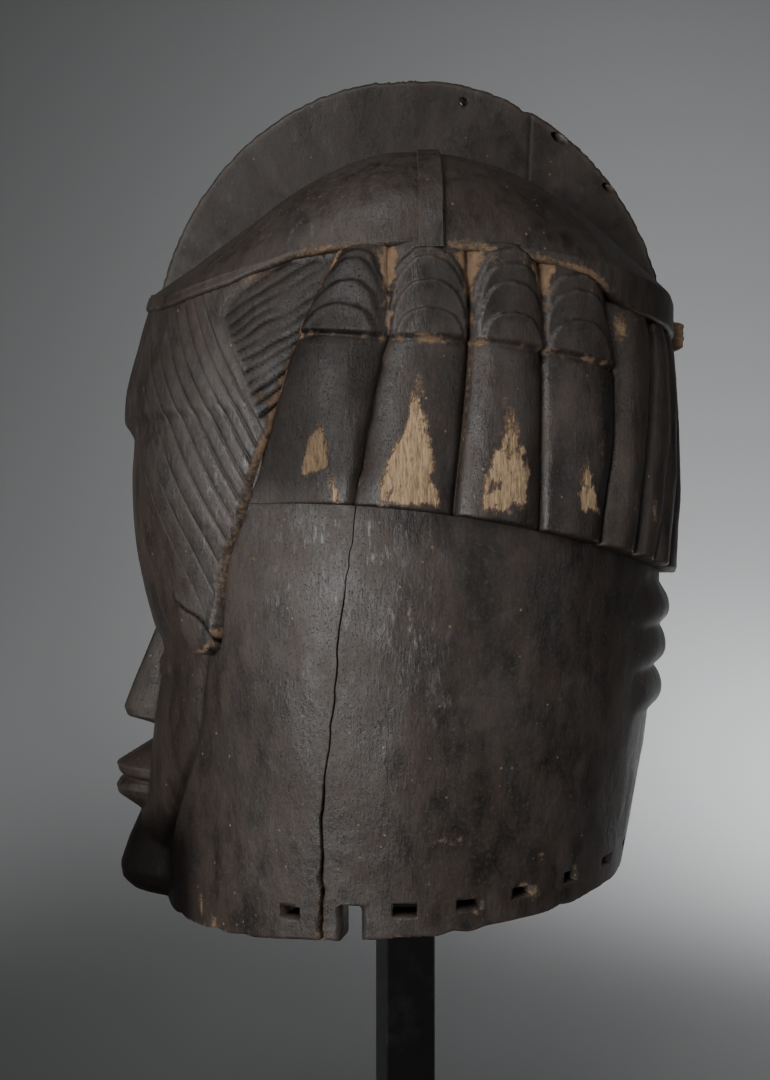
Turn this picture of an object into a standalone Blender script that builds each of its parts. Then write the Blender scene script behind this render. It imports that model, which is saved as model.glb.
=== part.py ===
"""Carved wooden helmet mask, held up by a square steel post on a flat foot.

The mask looks along -X, its height runs along +Z, and its two sides mirror each other across Y = 0.
All lengths are in metres. The ground is Z = 0, under the middle of the post.
The carving keeps its proportions: its sizes are in units of a 410th of the mask's height.
"""

import math

import bmesh
import bpy
from mathutils import Matrix, Vector

# Driving sizes of the mask
MASK_HEIGHT = 0.410
RIM_LEVEL = 0.196
WALL = 0.013
CROWN_WALL = 0.019

# Driving sizes of the lashing holes and of the pegs
HOLE_WIDTH = 0.0085
HOLE_HEIGHT = 0.0048
HOLE_INSET = 0.0100
BACK_PEG_SIDE = 0.0140
BACK_PEG_SHOWS = 0.0150
BACK_PEG_DEPTH = 0.0150
FRONT_PEG_DIAMETER = 0.0075
FRONT_PEG_SHOWS = 0.0045
FRONT_PEG_DEPTH = 0.0120
PEG_CLEARANCE = 0.0003

# Driving sizes of the stand
POST_SIDE = 0.025
POST_BEVEL = 0.0008
POST_TURN = 13.0
FOOT_SIDE = 0.220
FOOT_THICKNESS = 0.012
FOOT_BEVEL = 0.0012
BLOCK_DIAMETER = 0.080
BLOCK_THICKNESS = 0.034
BLOCK_FIT = 0.0010
BLOCK_STEPS = 6
CLEARANCE = 0.0003

# Carving, in units of a 410th of the mask's height, above the front of the rim
MASK_UNITS = 410.0
UNIT = MASK_HEIGHT / MASK_UNITS
RIM_BACK_RISE = 19.5
RIM_BEND = 1.25
HAIR_TOP = 293.0
HAIR_DIVISION = 255.0
BAND_LIP = 5.0
CROWN_TOP = 359.0
CROWN_FRONT = (0.6, 1.8)
CROWN_BACK = (1.2, 1.8)
CROWN_SIDE = (2.2, 2.2)
CREST_MIDDLE = 265.5
CREST_HALF_LENGTH = 131.0
CREST_OFFSET = 3.0
CREST_EDGE_THICKNESS = 8.0
CREST_ROOT_THICKNESS = 24.0
RIB_WIDTH = 10.5
RIB_RELIEF = 2.6
RIB_OFFSET = 8.5

# Plain block under the carving: height, half depth to the front and to the back, half width
BLOCK_STATIONS = (
    (0.0, 119.0, 103.5, 106.0),
    (40.0, 118.0, 112.0, 108.0),
    (90.0, 117.0, 120.5, 110.0),
    (135.0, 117.0, 125.0, 111.0),
    (185.0, 117.0, 127.0, 111.0),
    (255.0, 117.0, 126.0, 110.5),
    (293.0, 120.0, 126.0, 112.0),
)
# Face and forehead: height, how far they stand out of the block, half angle that they take up
FRONT_STATIONS = (
    (0.0, 6.0, 10.0),
    (21.0, 14.0, 14.0),
    (39.0, 15.5, 20.0),
    (58.0, 12.0, 27.0),
    (85.0, 8.5, 35.5),
    (118.0, 4.0, 39.5),
    (127.0, 5.0, 40.5),
    (134.5, 9.0, 42.0),
    (155.0, 14.5, 46.0),
    (175.0, 18.0, 50.0),
    (205.0, 19.5, 59.0),
    (228.0, 18.5, 64.0),
    (234.0, 20.5, 65.0),
    (252.0, 19.0, 69.0),
    (275.0, 12.5, 73.0),
    (293.0, 6.0, 76.0),
)

# Hair rolls of one side, and the one at the nape: direction, lean of the lower end, radius, tiers
SIDE_ROLLS = (
    (76.0, 11.0, 34.0, 3),
    (93.2, 4.5, 25.0, 3),
    (107.7, 1.5, 25.0, 3),
    (123.3, 2.0, 26.0, 3),
    (140.0, 4.9, 27.0, 0),
    (152.8, 7.8, 15.0, 0),
    (161.0, 7.8, 14.0, 0),
    (169.5, 6.6, 14.0, 0),
)
NAPE_ROLL = (180.0, 0.0, 18.0, 0)
HAIR_HEM_LEVEL = 188.0
HAIR_HEM_SLOPE = 0.11
HAIR_HEM_CURVE = 0.0009
ROLL_STATIONS = ((157.0, 9.3), (226.0, 9.4), (255.0, 8.4), (293.0, 4.0))
ROLL_HEAD = 2.0
ROLL_HEAD_STEP = 2.0
TIER_STEP = 1.8

# Combed hair over the temples: height, front and back edges in degrees, how far it stands out
TEMPLE_STATIONS = (
    (125.0, 38.0, 43.0, 4.5),
    (129.0, 36.0, 45.5, 6.0),
    (137.0, 35.0, 46.5, 6.0),
    (149.0, 34.0, 47.0, 4.5),
    (167.0, 31.5, 48.5, 3.6),
    (185.0, 28.5, 53.0, 3.2),
    (208.0, 22.5, 57.5, 2.8),
    (222.0, 17.0, 61.0, 2.6),
    (230.0, 9.0, 62.5, 2.4),
    (233.0, -2.0, 63.0, 2.4),
    (250.0, -2.0, 66.0, 2.2),
    (273.0, -2.0, 71.5, 1.6),
    (292.0, -2.0, 76.0, 0.5),
)
STRAND_COUNT = 12
STRAND_PITCH = 7.0
STRAND_FIRST_ANGLE = -22.0
STRAND_LEAN = 0.27
STRAND_STEPS = 7
STRAND_GROOVE_RADIUS = 2.3
STRAND_GROOVE_LIFT = 0.45

# Nose, mouth and chin: height, how far forward, half width
NOSE_STATIONS = (
    (83.0, 126.0, 17.0), (87.0, 141.0, 15.5), (91.5, 142.8, 13.0), (113.0, 134.5, 9.0), (143.0, 123.0, 7.0),
)  # fmt: skip
MOUTH_STATIONS = (
    (38.0, 131.0, 20.0), (41.0, 134.4, 24.0), (49.0, 146.2, 28.0), (52.5, 147.0, 29.0),
    (56.0, 145.0, 29.0), (57.5, 143.0, 28.5), (59.5, 145.2, 30.0), (64.0, 146.7, 29.0),
    (76.0, 127.0, 24.0),
)  # fmt: skip
CHIN_STATIONS = (
    (2.4, 139.0, 26.0), (7.0, 143.6, 31.0), (13.5, 144.6, 33.0), (26.0, 140.5, 31.0), (42.0, 133.5, 23.0),
)  # fmt: skip
FACE_ROOT = 98.0
FACE_SEGMENTS = 8
EYE_ANGLE = 18.0
EYE_HEIGHT = 116.0
EYE_RADII = (6.0, 16.0, 6.0)

# Nape rings
RING_LEVELS = (142.5, 123.5, 102.5)
RING_RELIEF = 5.5
RING_HALF_HEIGHT = 9.5
RING_HALF_ANGLE = 34.0

# Lashing holes, in degrees from the middle of the face, and those that have broken out
HOLE_ANGLES = (65.0, 78.0, 89.0, 103.0, 116.0, 130.0, 145.0, 160.0, 174.0)
BROKEN_HOLES = (78.0,)
BACK_PEG_HEIGHT = 279.5
FRONT_PEG_HEIGHT = 297.5
CREST_HOLES = ((28.6, 398.5, 2.7), (73.0, 382.5, 2.7), (98.5, 357.0, 2.4))

# Rows and columns of the block
FACE_COLUMNS = 14
SHOULDER_COLUMNS = 3
SHOULDER_ANGLE = 82.0
BACK_COLUMNS = 22
BLOCK_ROWS = (
    12.0, 24.0, 39.0, 52.0, 66.0, 80.0, 93.0, 102.5, 113.0, 123.5, 128.0, 133.0, 142.5, 152.0,
    170.0, 190.0, 212.0, 229.0, 234.0, 250.0, 268.0, 284.0, 291.0,
)  # fmt: skip
CROWN_ROWS = 8
CAVITY_COLUMNS = 30
HOLLOW_ROWS = (-12.0, 20.0, 60.0, 105.0, 150.0, 200.0, 250.0)
TEMPLE_SEGMENTS = 8
TEMPLE_ROOT = 6.0
HOLLOW_SPRINGING = 12.0
FLAT_ANGLE = 0.6


def smooth_table(table, height):
    """Values of a table of sections at a height, run smoothly from one section to the next."""
    height = min(max(height, table[0][0]), table[-1][0])
    place = next(i for i in range(1, len(table)) if height <= table[i][0])
    low, high = table[place - 1], table[place]
    share = (height - low[0]) / (high[0] - low[0])
    before, after = table[max(place - 2, 0)], table[min(place + 1, len(table) - 1)]
    values = []
    for column in range(1, len(low)):
        run = high[0] - low[0]
        start = (high[column] - before[column]) / (high[0] - before[0]) * run
        end = (after[column] - low[column]) / (after[0] - low[0]) * run
        a = 2 * share**3 - 3 * share**2 + 1
        b = share**3 - 2 * share**2 + share
        c = share**3 - share**2
        values.append(a * low[column] + b * start + (1 - a) * high[column] + c * end)
    return values


def rim_height(angle):
    """Height of the rim: lowest under the chin, highest at the nape."""
    front_share = (0.5 + 0.5 * math.cos(math.radians(angle))) ** RIM_BEND
    return RIM_BACK_RISE * (1 - front_share)


def plan_point(angle, half_front, half_back, half_width, stand_out=0.0):
    """Point of an egg-shaped plan, from 0 degrees at the front to 180 at the back, in units."""
    turn = math.radians(angle)
    half_depth = half_front if math.cos(turn) > 0 else half_back
    x, y = -half_depth * math.cos(turn), -half_width * math.sin(turn)
    grow = 1 + stand_out / math.hypot(x, y)
    return x * grow, y * grow


def carved_relief(angle, height):
    """How far the face, the forehead and the nape rings stand out of the plain block."""
    side = abs((angle + 180) % 360 - 180)
    stand_out, half_angle = smooth_table(FRONT_STATIONS, height)
    relief = stand_out * max(0.0, 1 - (side / half_angle) ** 2)
    across = max(0.0, 1 - ((180 - side) / RING_HALF_ANGLE) ** 2)
    for level in RING_LEVELS:
        relief += RING_RELIEF * across * max(0.0, 1 - ((height - level) / RING_HALF_HEIGHT) ** 2)
    return relief


def block_point(angle, height):
    """Point of the carved block at a height under the crown, in metres."""
    sizes = smooth_table(BLOCK_STATIONS, height)
    x, y = plan_point(angle, *sizes, carved_relief(angle, height))
    return Vector((x * UNIT, y * UNIT, RIM_LEVEL + height * UNIT))


def crown_shares():
    """Heights of the crown's rows, as shares of its own height, closest at its foot and its top."""
    return [0.5 - 0.5 * math.cos(math.pi * i / CROWN_ROWS) for i in range(CROWN_ROWS)]


def narrowed(sizes, share):
    """Half depths and half width that are left of a plan at a share of the crown's height."""
    profiles = (CROWN_FRONT, CROWN_BACK, CROWN_SIDE)
    return [size * (1 - share**rise) ** (1 / run) for size, (rise, run) in zip(sizes, profiles)]


def crown_point(angle, share):
    """Point of the smooth crown, from its lower edge at share 0 to its top at share 1, in metres."""
    turn = math.radians(angle)
    front, back, side = narrowed((BAND_LIP, BAND_LIP, BAND_LIP), share)
    lip = math.hypot((front if math.cos(turn) > 0 else back) * math.cos(turn), side * math.sin(turn))
    x, y = plan_point(angle, *narrowed(BLOCK_STATIONS[-1][1:], share), lip)
    height = HAIR_TOP + (CROWN_TOP - HAIR_TOP) * share
    return Vector((x * UNIT, y * UNIT, RIM_LEVEL + height * UNIT))


def block_angles(height):
    """Directions of the block's columns, some of them on the edges of the face."""
    half_angle = smooth_table(FRONT_STATIONS, height)[1]
    face = [half_angle * (2 * i / FACE_COLUMNS - 1) for i in range(FACE_COLUMNS)]
    step = (SHOULDER_ANGLE - half_angle) / SHOULDER_COLUMNS
    near = [half_angle + step * i for i in range(SHOULDER_COLUMNS)]
    far = [-SHOULDER_ANGLE + step * i for i in range(SHOULDER_COLUMNS)]
    rest = 360 - 2 * SHOULDER_ANGLE
    back = [SHOULDER_ANGLE + rest * i / BACK_COLUMNS for i in range(BACK_COLUMNS)]
    return far + face + near + back


def loft(name, rings, bottom=None, top=None):
    """Closed mesh through rings of points, lowest first, each end flat or drawn to a point."""
    shape = bmesh.new()
    rows = [[shape.verts.new(point) for point in ring] for ring in rings]
    count = len(rings[0])
    for lower, upper in zip(rows, rows[1:]):
        for i in range(count):
            j = (i + 1) % count
            shape.faces.new((lower[i], lower[j], upper[j], upper[i]))
    bmesh.ops.triangulate(shape, faces=shape.faces[:], quad_method="SHORT_EDGE")
    for row, point in ((rows[0], bottom), (rows[-1], top)):
        if point is None:
            shape.faces.new(row)
            continue
        tip = shape.verts.new(point)
        for i in range(count):
            shape.faces.new((row[i], row[(i + 1) % count], tip))
    bmesh.ops.recalc_face_normals(shape, faces=shape.faces)
    mesh = bpy.data.meshes.new(name)
    shape.to_mesh(mesh)
    shape.free()
    return bpy.data.objects.new(name, mesh)


def carved_block(name):
    """Block of the mask, from its tilted rim up to the top of the crown."""
    rings = [[block_point(angle, rim_height(angle)) for angle in block_angles(0.0)]]
    for row in BLOCK_ROWS:
        ring = []
        for angle in block_angles(row):
            ring.append(block_point(angle, max(row, rim_height(angle) + row / BLOCK_ROWS[0])))
        rings.append(ring)
    for share in crown_shares():
        rings.append([crown_point(angle, share) for angle in block_angles(HAIR_TOP)])
    bottom = Vector((0, 0, RIM_LEVEL + RIM_BACK_RISE / 2 * UNIT))
    return loft(name, rings, bottom, Vector((0, 0, RIM_LEVEL + CROWN_TOP * UNIT)))


def material(name, colour, roughness, metallic=0.0):
    """Plain shader for one finish."""
    made = bpy.data.materials.new(name)
    made.use_nodes = True
    shader = made.node_tree.nodes["Principled BSDF"]
    shader.inputs["Base Color"].default_value = (*colour, 1.0)
    shader.inputs["Roughness"].default_value = roughness
    shader.inputs["Metallic"].default_value = metallic
    return made


def place(obj, collection, finish=None):
    """Puts an object in its collection with its finish."""
    for old in list(obj.users_collection):
        old.objects.unlink(obj)
    collection.objects.link(obj)
    if finish is not None:
        obj.data.materials.clear()
        obj.data.materials.append(finish)
    return obj


def helper(obj, collection):
    """Keeps a shape that only joins or cuts another out of the render."""
    place(obj, collection)
    obj.hide_render = True
    obj.display_type = "WIRE"
    return obj


def boolean(obj, operation, collection):
    """Joins to a piece, or cuts from it, every shape of a collection."""
    modifier = obj.modifiers.new(collection.name, "BOOLEAN")
    modifier.operation = operation
    modifier.operand_type = "COLLECTION"
    modifier.collection = collection
    modifier.solver = "EXACT"


def ellipsoid(name, centre, radii, segments=12, rings=8):
    """Rounded form with its three radii, in units."""
    shape = bmesh.new()
    bmesh.ops.create_uvsphere(shape, u_segments=segments, v_segments=rings, radius=1.0)
    size = Matrix.Diagonal((*(radius * UNIT for radius in radii), 1.0))
    x, y, height = centre
    spot = Matrix.Translation((x * UNIT, y * UNIT, RIM_LEVEL + height * UNIT))
    bmesh.ops.transform(shape, matrix=spot @ size, verts=shape.verts)
    mesh = bpy.data.meshes.new(name)
    shape.to_mesh(mesh)
    shape.free()
    return bpy.data.objects.new(name, mesh)


def box(name, centre, size, turn=0.0):
    """Box with its middle at a point, turned about the vertical."""
    bpy.ops.mesh.primitive_cube_add(size=1.0, location=centre, rotation=(0, 0, turn))
    made = bpy.context.object
    made.name = name
    made.scale = size
    bpy.ops.object.transform_apply(location=False, rotation=False, scale=True)
    return made


def mesh_from_curve(curve_object):
    """Turns a curve object into a mesh object with its caps welded."""
    bpy.context.collection.objects.link(curve_object)
    graph = bpy.context.evaluated_depsgraph_get()
    mesh = bpy.data.meshes.new_from_object(curve_object.evaluated_get(graph))
    shape = bmesh.new()
    shape.from_mesh(mesh)
    bmesh.ops.remove_doubles(shape, verts=shape.verts, dist=0.00001)
    bmesh.ops.recalc_face_normals(shape, faces=shape.faces)
    shape.to_mesh(mesh)
    shape.free()
    name = curve_object.name
    bpy.data.objects.remove(curve_object)
    return bpy.data.objects.new(name, mesh)


def roll_point(angle, height, stand_out, radius):
    """Middle of a hair roll at a height, set back so that it stands out of the block as told."""
    sizes = smooth_table(BLOCK_STATIONS, height)
    x, y = plan_point(angle, *sizes, stand_out - radius)
    return x * UNIT, y * UNIT, RIM_LEVEL + height * UNIT


def hem_height(angle):
    """Height at which a roll ends, lower towards the back."""
    x, _ = plan_point(angle, *smooth_table(BLOCK_STATIONS, HAIR_HEM_LEVEL))
    return HAIR_HEM_LEVEL - HAIR_HEM_SLOPE * x - HAIR_HEM_CURVE * x * x


def hair_roll(name, angle, lean, radius, tiers):
    """Upright roll of hair with a flat lower end and, if it has any, stepped tiers at its head."""
    heights = [hem_height(angle), (hem_height(angle) + HAIR_DIVISION) / 2, HAIR_DIVISION]
    steps = [0.0, 0.0, 0.0]
    tier = (HAIR_TOP - HAIR_DIVISION) / max(tiers, 1)
    for i in range(tiers):
        heights += [HAIR_DIVISION + i * tier + 0.1 * tier, HAIR_DIVISION + (i + 1) * tier]
        steps += [TIER_STEP, 0.0]
    heights += [HAIR_TOP + 0.1 * ROLL_HEAD, HAIR_TOP + ROLL_HEAD]
    steps += [ROLL_HEAD_STEP, ROLL_HEAD_STEP]
    curve = bpy.data.curves.new(name, "CURVE")
    curve.dimensions = "3D"
    curve.bevel_depth = radius * UNIT
    curve.bevel_resolution = 8
    curve.use_fill_caps = True
    spline = curve.splines.new("POLY")
    spline.points.add(len(heights) - 1)
    for point, height, step in zip(spline.points, heights, steps):
        (stand_out,) = smooth_table(ROLL_STATIONS, height)
        lower = max(0.0, (HAIR_DIVISION - height) / (HAIR_DIVISION - HAIR_HEM_LEVEL))
        turned = angle - math.copysign(lean * lower, angle)
        point.co = (*roll_point(turned, height, stand_out - step, radius), 1.0)
    return mesh_from_curve(bpy.data.objects.new(name, curve))


def carve_rolls(collection):
    """Every roll of hair, from one temple round the nape to the other."""
    for i, (angle, lean, radius, tiers) in enumerate(SIDE_ROLLS):
        for side, name in ((1, "near"), (-1, "far")):
            helper(hair_roll(f"roll_{name}_{i}", side * angle, lean, radius, tiers), collection)
    helper(hair_roll("roll_nape", *NAPE_ROLL), collection)


def carve_crest(collection):
    """Upright plate along the crown, thin at its edge and thick at its root."""
    bpy.ops.mesh.primitive_cylinder_add(
        vertices=64, radius=1.0, depth=CREST_EDGE_THICKNESS * UNIT, end_fill_type="TRIFAN",
        rotation=(math.pi / 2, 0, 0),
    )  # fmt: skip
    crest = bpy.context.object
    crest.name = "crest"
    bpy.ops.object.transform_apply(location=False, rotation=True, scale=False)
    half_height = MASK_UNITS - CREST_MIDDLE
    for vertex in crest.data.vertices:
        if math.hypot(vertex.co.x, vertex.co.z) < 0.5:
            vertex.co.y = math.copysign(CREST_ROOT_THICKNESS / 2 * UNIT, vertex.co.y)
        vertex.co.x *= CREST_HALF_LENGTH * UNIT
        vertex.co.z *= half_height * UNIT
    crest.location = (CREST_OFFSET * UNIT, 0, RIM_LEVEL + CREST_MIDDLE * UNIT)
    helper(crest, collection)


def carve_rib(collection):
    """Low strap over the crown from one side to the other."""
    steps = 16
    middle = Vector((RIB_OFFSET * UNIT, 0, 0))
    half = Vector((RIB_WIDTH / 2 * UNIT, 0, 0))
    lift = RIB_RELIEF * UNIT
    outer = []
    for i in range(steps + 1):
        share = math.sin(math.pi / 2 * min(i, steps - i) / (steps / 2))
        point = crown_point(90 if i <= steps / 2 else -90, min(share, 0.999))
        outward = Vector((0, point.y, (point.z - RIM_LEVEL - HAIR_TOP * UNIT) * 2.0)).normalized()
        outer.append(Vector((0, point.y, point.z)) + outward * lift)
    rings = [[middle + side * half + point for point in outer] for side in (-1, 1)]
    helper(loft("rib", rings), collection)


def carve_temples(collection):
    """Combed hair over each temple, drawn down to a tip beside the brow."""
    for side, name in ((1, "temple_hair_near"), (-1, "temple_hair_far")):
        rings = []
        for height, front, back, stand_out in TEMPLE_STATIONS:
            sizes = smooth_table(BLOCK_STATIONS, height)
            z = RIM_LEVEL + height * UNIT
            ring = []
            for i in range(TEMPLE_SEGMENTS + 1):
                angle = front + (back - front) * i / TEMPLE_SEGMENTS
                relief = carved_relief(angle, height) + stand_out
                ring.append((*plan_point(side * angle, *sizes, relief), z))
            for angle in (back, front):
                ring.append((*plan_point(side * angle, *sizes, -TEMPLE_ROOT), z))
            rings.append([Vector((x * UNIT, y * UNIT, z)) for x, y, z in ring])
        helper(loft(name, rings), collection)


def temple_edges(height):
    """Front and back edges of the combed hair at a height, in degrees."""
    return smooth_table(TEMPLE_STATIONS, height)[:2]


def cut_strands(collection):
    """Grooves that comb the hair of each temple down and back."""
    low, high = TEMPLE_STATIONS[3][0], HAIR_TOP
    for side, name in ((1, "strand_near"), (-1, "strand_far")):
        for i in range(STRAND_COUNT):
            points = []
            for step in range(STRAND_STEPS + 1):
                height = high + (low - high) * step / STRAND_STEPS
                angle = STRAND_FIRST_ANGLE + STRAND_PITCH * i + STRAND_LEAN * (high - height)
                front, back = temple_edges(height)
                if front < angle < back:
                    sizes = smooth_table(BLOCK_STATIONS, height)
                    relief = carved_relief(angle, height) + smooth_table(TEMPLE_STATIONS, height)[2]
                    relief += STRAND_GROOVE_LIFT
                    x, y = plan_point(side * angle, *sizes, relief)
                    points.append((x * UNIT, y * UNIT, RIM_LEVEL + height * UNIT))
            if len(points) < 3:
                continue
            curve = bpy.data.curves.new(f"{name}_{i}", "CURVE")
            curve.dimensions = "3D"
            curve.bevel_depth = STRAND_GROOVE_RADIUS * UNIT
            curve.bevel_resolution = 0
            curve.use_fill_caps = True
            spline = curve.splines.new("POLY")
            spline.points.add(len(points) - 1)
            for point, place_at in zip(spline.points, points):
                point.co = (*place_at, 1.0)
            helper(mesh_from_curve(bpy.data.objects.new(f"{name}_{i}", curve)), collection)


def face_form(name, stations):
    """Form that stands forward of the face, rounded in plan."""
    rings = []
    for height, forward, half_width in stations:
        ring = []
        for i in range(FACE_SEGMENTS + 1):
            turn = math.pi * (i / FACE_SEGMENTS - 0.5)
            x = FACE_ROOT + (forward - FACE_ROOT) * math.cos(turn)
            ring.append(Vector((-x * UNIT, half_width * math.sin(turn) * UNIT, RIM_LEVEL + height * UNIT)))
        rings.append(ring)
    return loft(name, rings)


def carve_face(collection):
    """Nose, mouth, chin and lowered eyelids, on the face of the block."""
    helper(face_form("nose", NOSE_STATIONS), collection)
    helper(face_form("mouth", MOUTH_STATIONS), collection)
    helper(face_form("chin", CHIN_STATIONS), collection)
    sizes = smooth_table(BLOCK_STATIONS, EYE_HEIGHT)
    for side, name in ((1, "eyelid_near"), (-1, "eyelid_far")):
        relief = carved_relief(EYE_ANGLE, EYE_HEIGHT) - 0.6 * EYE_RADII[0]
        x, y = plan_point(side * EYE_ANGLE, *sizes, relief)
        helper(ellipsoid(name, (x, y, EYE_HEIGHT), EYE_RADII, 10, 6), collection)


def cut_hollow(collection):
    """Inside of the mask, open below, with the wall left round it."""
    wall, crown_wall = WALL / UNIT, CROWN_WALL / UNIT
    top = CROWN_TOP - crown_wall
    angles = [360 * i / CAVITY_COLUMNS for i in range(CAVITY_COLUMNS)]
    rings = []
    springing = HAIR_TOP - HOLLOW_SPRINGING
    for height in (*HOLLOW_ROWS, springing):
        sizes = [size - wall for size in smooth_table(BLOCK_STATIONS, height)]
        rings.append([(*plan_point(angle, *sizes), height) for angle in angles])
    sizes = [size - wall for size in smooth_table(BLOCK_STATIONS, springing)]
    for share in crown_shares()[1:]:
        height = springing + (top - springing) * share
        rings.append([(*plan_point(angle, *narrowed(sizes, share)), height) for angle in angles])
    rings = [[Vector((x * UNIT, y * UNIT, RIM_LEVEL + z * UNIT)) for x, y, z in r] for r in rings]
    helper(loft("hollow", rings, top=Vector((0, 0, RIM_LEVEL + top * UNIT))), collection)


def cut_holes(collection):
    """Lashing holes along the rim, one of them broken out, and the holes near the crest's edge."""
    reach = 4 * WALL
    for angle in (*HOLE_ANGLES, *(-angle for angle in HOLE_ANGLES)):
        edge = block_point(angle, rim_height(angle))
        turn = math.atan2(edge.y, edge.x)
        top = edge.z + HOLE_INSET + HOLE_HEIGHT
        height = 2 * (HOLE_INSET + HOLE_HEIGHT) if angle in BROKEN_HOLES else HOLE_HEIGHT
        centre = (edge.x, edge.y, top - height / 2)
        name = f"lashing_hole_{angle:+.0f}"
        helper(box(name, centre, (reach, HOLE_WIDTH, height), turn), collection)
    for i, (x, height, radius) in enumerate(CREST_HOLES):
        bpy.ops.mesh.primitive_cylinder_add(
            vertices=8, radius=radius * UNIT, depth=0.06,
            location=(x * UNIT, 0, RIM_LEVEL + height * UNIT), rotation=(math.pi / 2, 0, 0),
        )  # fmt: skip
        bpy.context.object.name = f"crest_hole_{i}"
        helper(bpy.context.object, collection)


def peg_span(angle, height, shows, depth, clearance):
    """Middle and length of a level peg, or of its hole, at the front or the back of the block."""
    face = crown_point(angle, 0.0) if height > HAIR_TOP else block_point(angle, height)
    outward = math.copysign(1.0, face.x)
    middle = face.x + outward * (shows - depth) / 2
    return (middle, 0, RIM_LEVEL + height * UNIT), shows + depth + 2 * clearance


def back_peg(name, clearance=0.0):
    """Square peg at the middle of the back, or the hole for it when a clearance is given."""
    spot, length = peg_span(180, BACK_PEG_HEIGHT, BACK_PEG_SHOWS, BACK_PEG_DEPTH, clearance)
    across = BACK_PEG_SIDE + 2 * clearance
    return box(name, spot, (length, across, across))


def front_peg(name, clearance=0.0):
    """Round peg at the middle of the front, or the hole for it when a clearance is given."""
    spot, length = peg_span(0, FRONT_PEG_HEIGHT, FRONT_PEG_SHOWS, FRONT_PEG_DEPTH, clearance)
    radius = FRONT_PEG_DIAMETER / 2 + clearance
    bpy.ops.mesh.primitive_cylinder_add(
        vertices=16, radius=radius, depth=length, location=spot, rotation=(0, math.pi / 2, 0)
    )
    bpy.context.object.name = name
    return bpy.context.object


def hollow_point_height(share):
    """Height of the inside of the crown, from its springing at share 0 to its top at share 1."""
    springing = HAIR_TOP - HOLLOW_SPRINGING
    return springing + (CROWN_TOP - CROWN_WALL / UNIT - springing) * share


def stand_block(collection, finish):
    """Turned block on the post, its rounded top fitted under the front of the crown."""
    radius = BLOCK_DIAMETER / 2
    inside = smooth_table(BLOCK_STATIONS, HAIR_TOP - HOLLOW_SPRINGING)[0] * UNIT - WALL
    rise, run = CROWN_FRONT
    top = RIM_LEVEL + hollow_point_height(1.0) * UNIT
    profile = []
    for i in range(BLOCK_STEPS + 1):
        across = radius * i / BLOCK_STEPS
        share = (1 - (across / inside) ** run) ** (1 / rise)
        drop = 0 if i == 0 else BLOCK_FIT
        profile.append((across, RIM_LEVEL + hollow_point_height(share) * UNIT - CLEARANCE - drop))
    under = top - CLEARANCE - BLOCK_THICKNESS
    profile += [(radius, under), (0.0, under)]
    mesh = bpy.data.meshes.new("support_block")
    mesh.from_pydata([(x, 0, z) for x, z in profile], [(i, i + 1) for i in range(len(profile) - 1)], [])
    block = bpy.data.objects.new("support_block", mesh)
    turn = block.modifiers.new("turned", "SCREW")
    turn.steps = turn.render_steps = 32
    turn.use_merge_vertices = True
    turn.merge_threshold = 0.0001
    turn.use_smooth_shade = False
    place(block, collection, finish)
    return under


def stand_post(collection, finish, top):
    """Square bar from the foot up to the block."""
    bottom = FOOT_THICKNESS + CLEARANCE
    height = top - CLEARANCE - bottom
    size = (POST_SIDE, POST_SIDE, height)
    post = box("stand_post", (0, 0, bottom + height / 2), size, math.radians(POST_TURN))
    edges = post.modifiers.new("eased edges", "BEVEL")
    edges.width = POST_BEVEL
    edges.segments = 1
    place(post, collection, finish)


def stand_foot(collection, finish):
    """Flat square plate under the post."""
    foot = box("stand_foot", (0, 0, FOOT_THICKNESS / 2), (FOOT_SIDE, FOOT_SIDE, FOOT_THICKNESS))
    foot.rotation_euler = (0, 0, math.radians(POST_TURN))
    edges = foot.modifiers.new("eased edges", "BEVEL")
    edges.width = FOOT_BEVEL
    edges.segments = 2
    place(foot, collection, finish)


def main():
    for old in list(bpy.data.objects):
        bpy.data.objects.remove(old)
    scene = bpy.context.scene.collection
    mask_parts = bpy.data.collections.new("helmet mask")
    joined = bpy.data.collections.new("carved forms")
    grooves = bpy.data.collections.new("grooves")
    hollow = bpy.data.collections.new("hollow")
    cuts = bpy.data.collections.new("cuts")
    for made in (mask_parts, joined, grooves, hollow, cuts):
        scene.children.link(made)
    wood = material("dark_wood", (0.035, 0.027, 0.022), 0.55)
    mask = place(carved_block("helmet_mask"), mask_parts, wood)
    carve_rolls(joined)
    carve_crest(joined)
    carve_rib(joined)
    carve_face(joined)
    carve_temples(joined)
    cut_strands(grooves)
    cut_hollow(hollow)
    cut_holes(cuts)
    pale = material("peg_wood", (0.30, 0.20, 0.12), 0.7)
    place(back_peg("back_peg"), mask_parts, pale)
    place(front_peg("front_peg"), mask_parts, wood)
    helper(back_peg("back_peg_hole", PEG_CLEARANCE), cuts)
    helper(front_peg("front_peg_hole", PEG_CLEARANCE), cuts)
    black = material("black_paint", (0.012, 0.012, 0.013), 0.4)
    felt = material("dark_felt", (0.03, 0.03, 0.032), 0.9)
    block_under = stand_block(mask_parts, felt)
    stand_post(mask_parts, black, block_under)
    stand_foot(mask_parts, black)
    boolean(mask, "UNION", joined)
    boolean(mask, "DIFFERENCE", grooves)
    boolean(mask, "DIFFERENCE", hollow)
    boolean(mask, "DIFFERENCE", cuts)
    flats = mask.modifiers.new("flat faces made whole", "DECIMATE")
    flats.decimate_type = "DISSOLVE"
    flats.angle_limit = math.radians(FLAT_ANGLE)


main()
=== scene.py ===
"""Looks of a carved wooden helmet mask with rolled hair and a tall crest, on its square steel stand.

The mask looks along -X, its two sides mirror each other across Y = 0, and the ground is Z = 0.
The carving is worked out in units of a 410th of the mask's height. An angle runs round the head: 0 is
the middle of the face, 90 the near side, -90 the far side and 180 the nape. A height is counted from
the front of the rim.
"""

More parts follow.
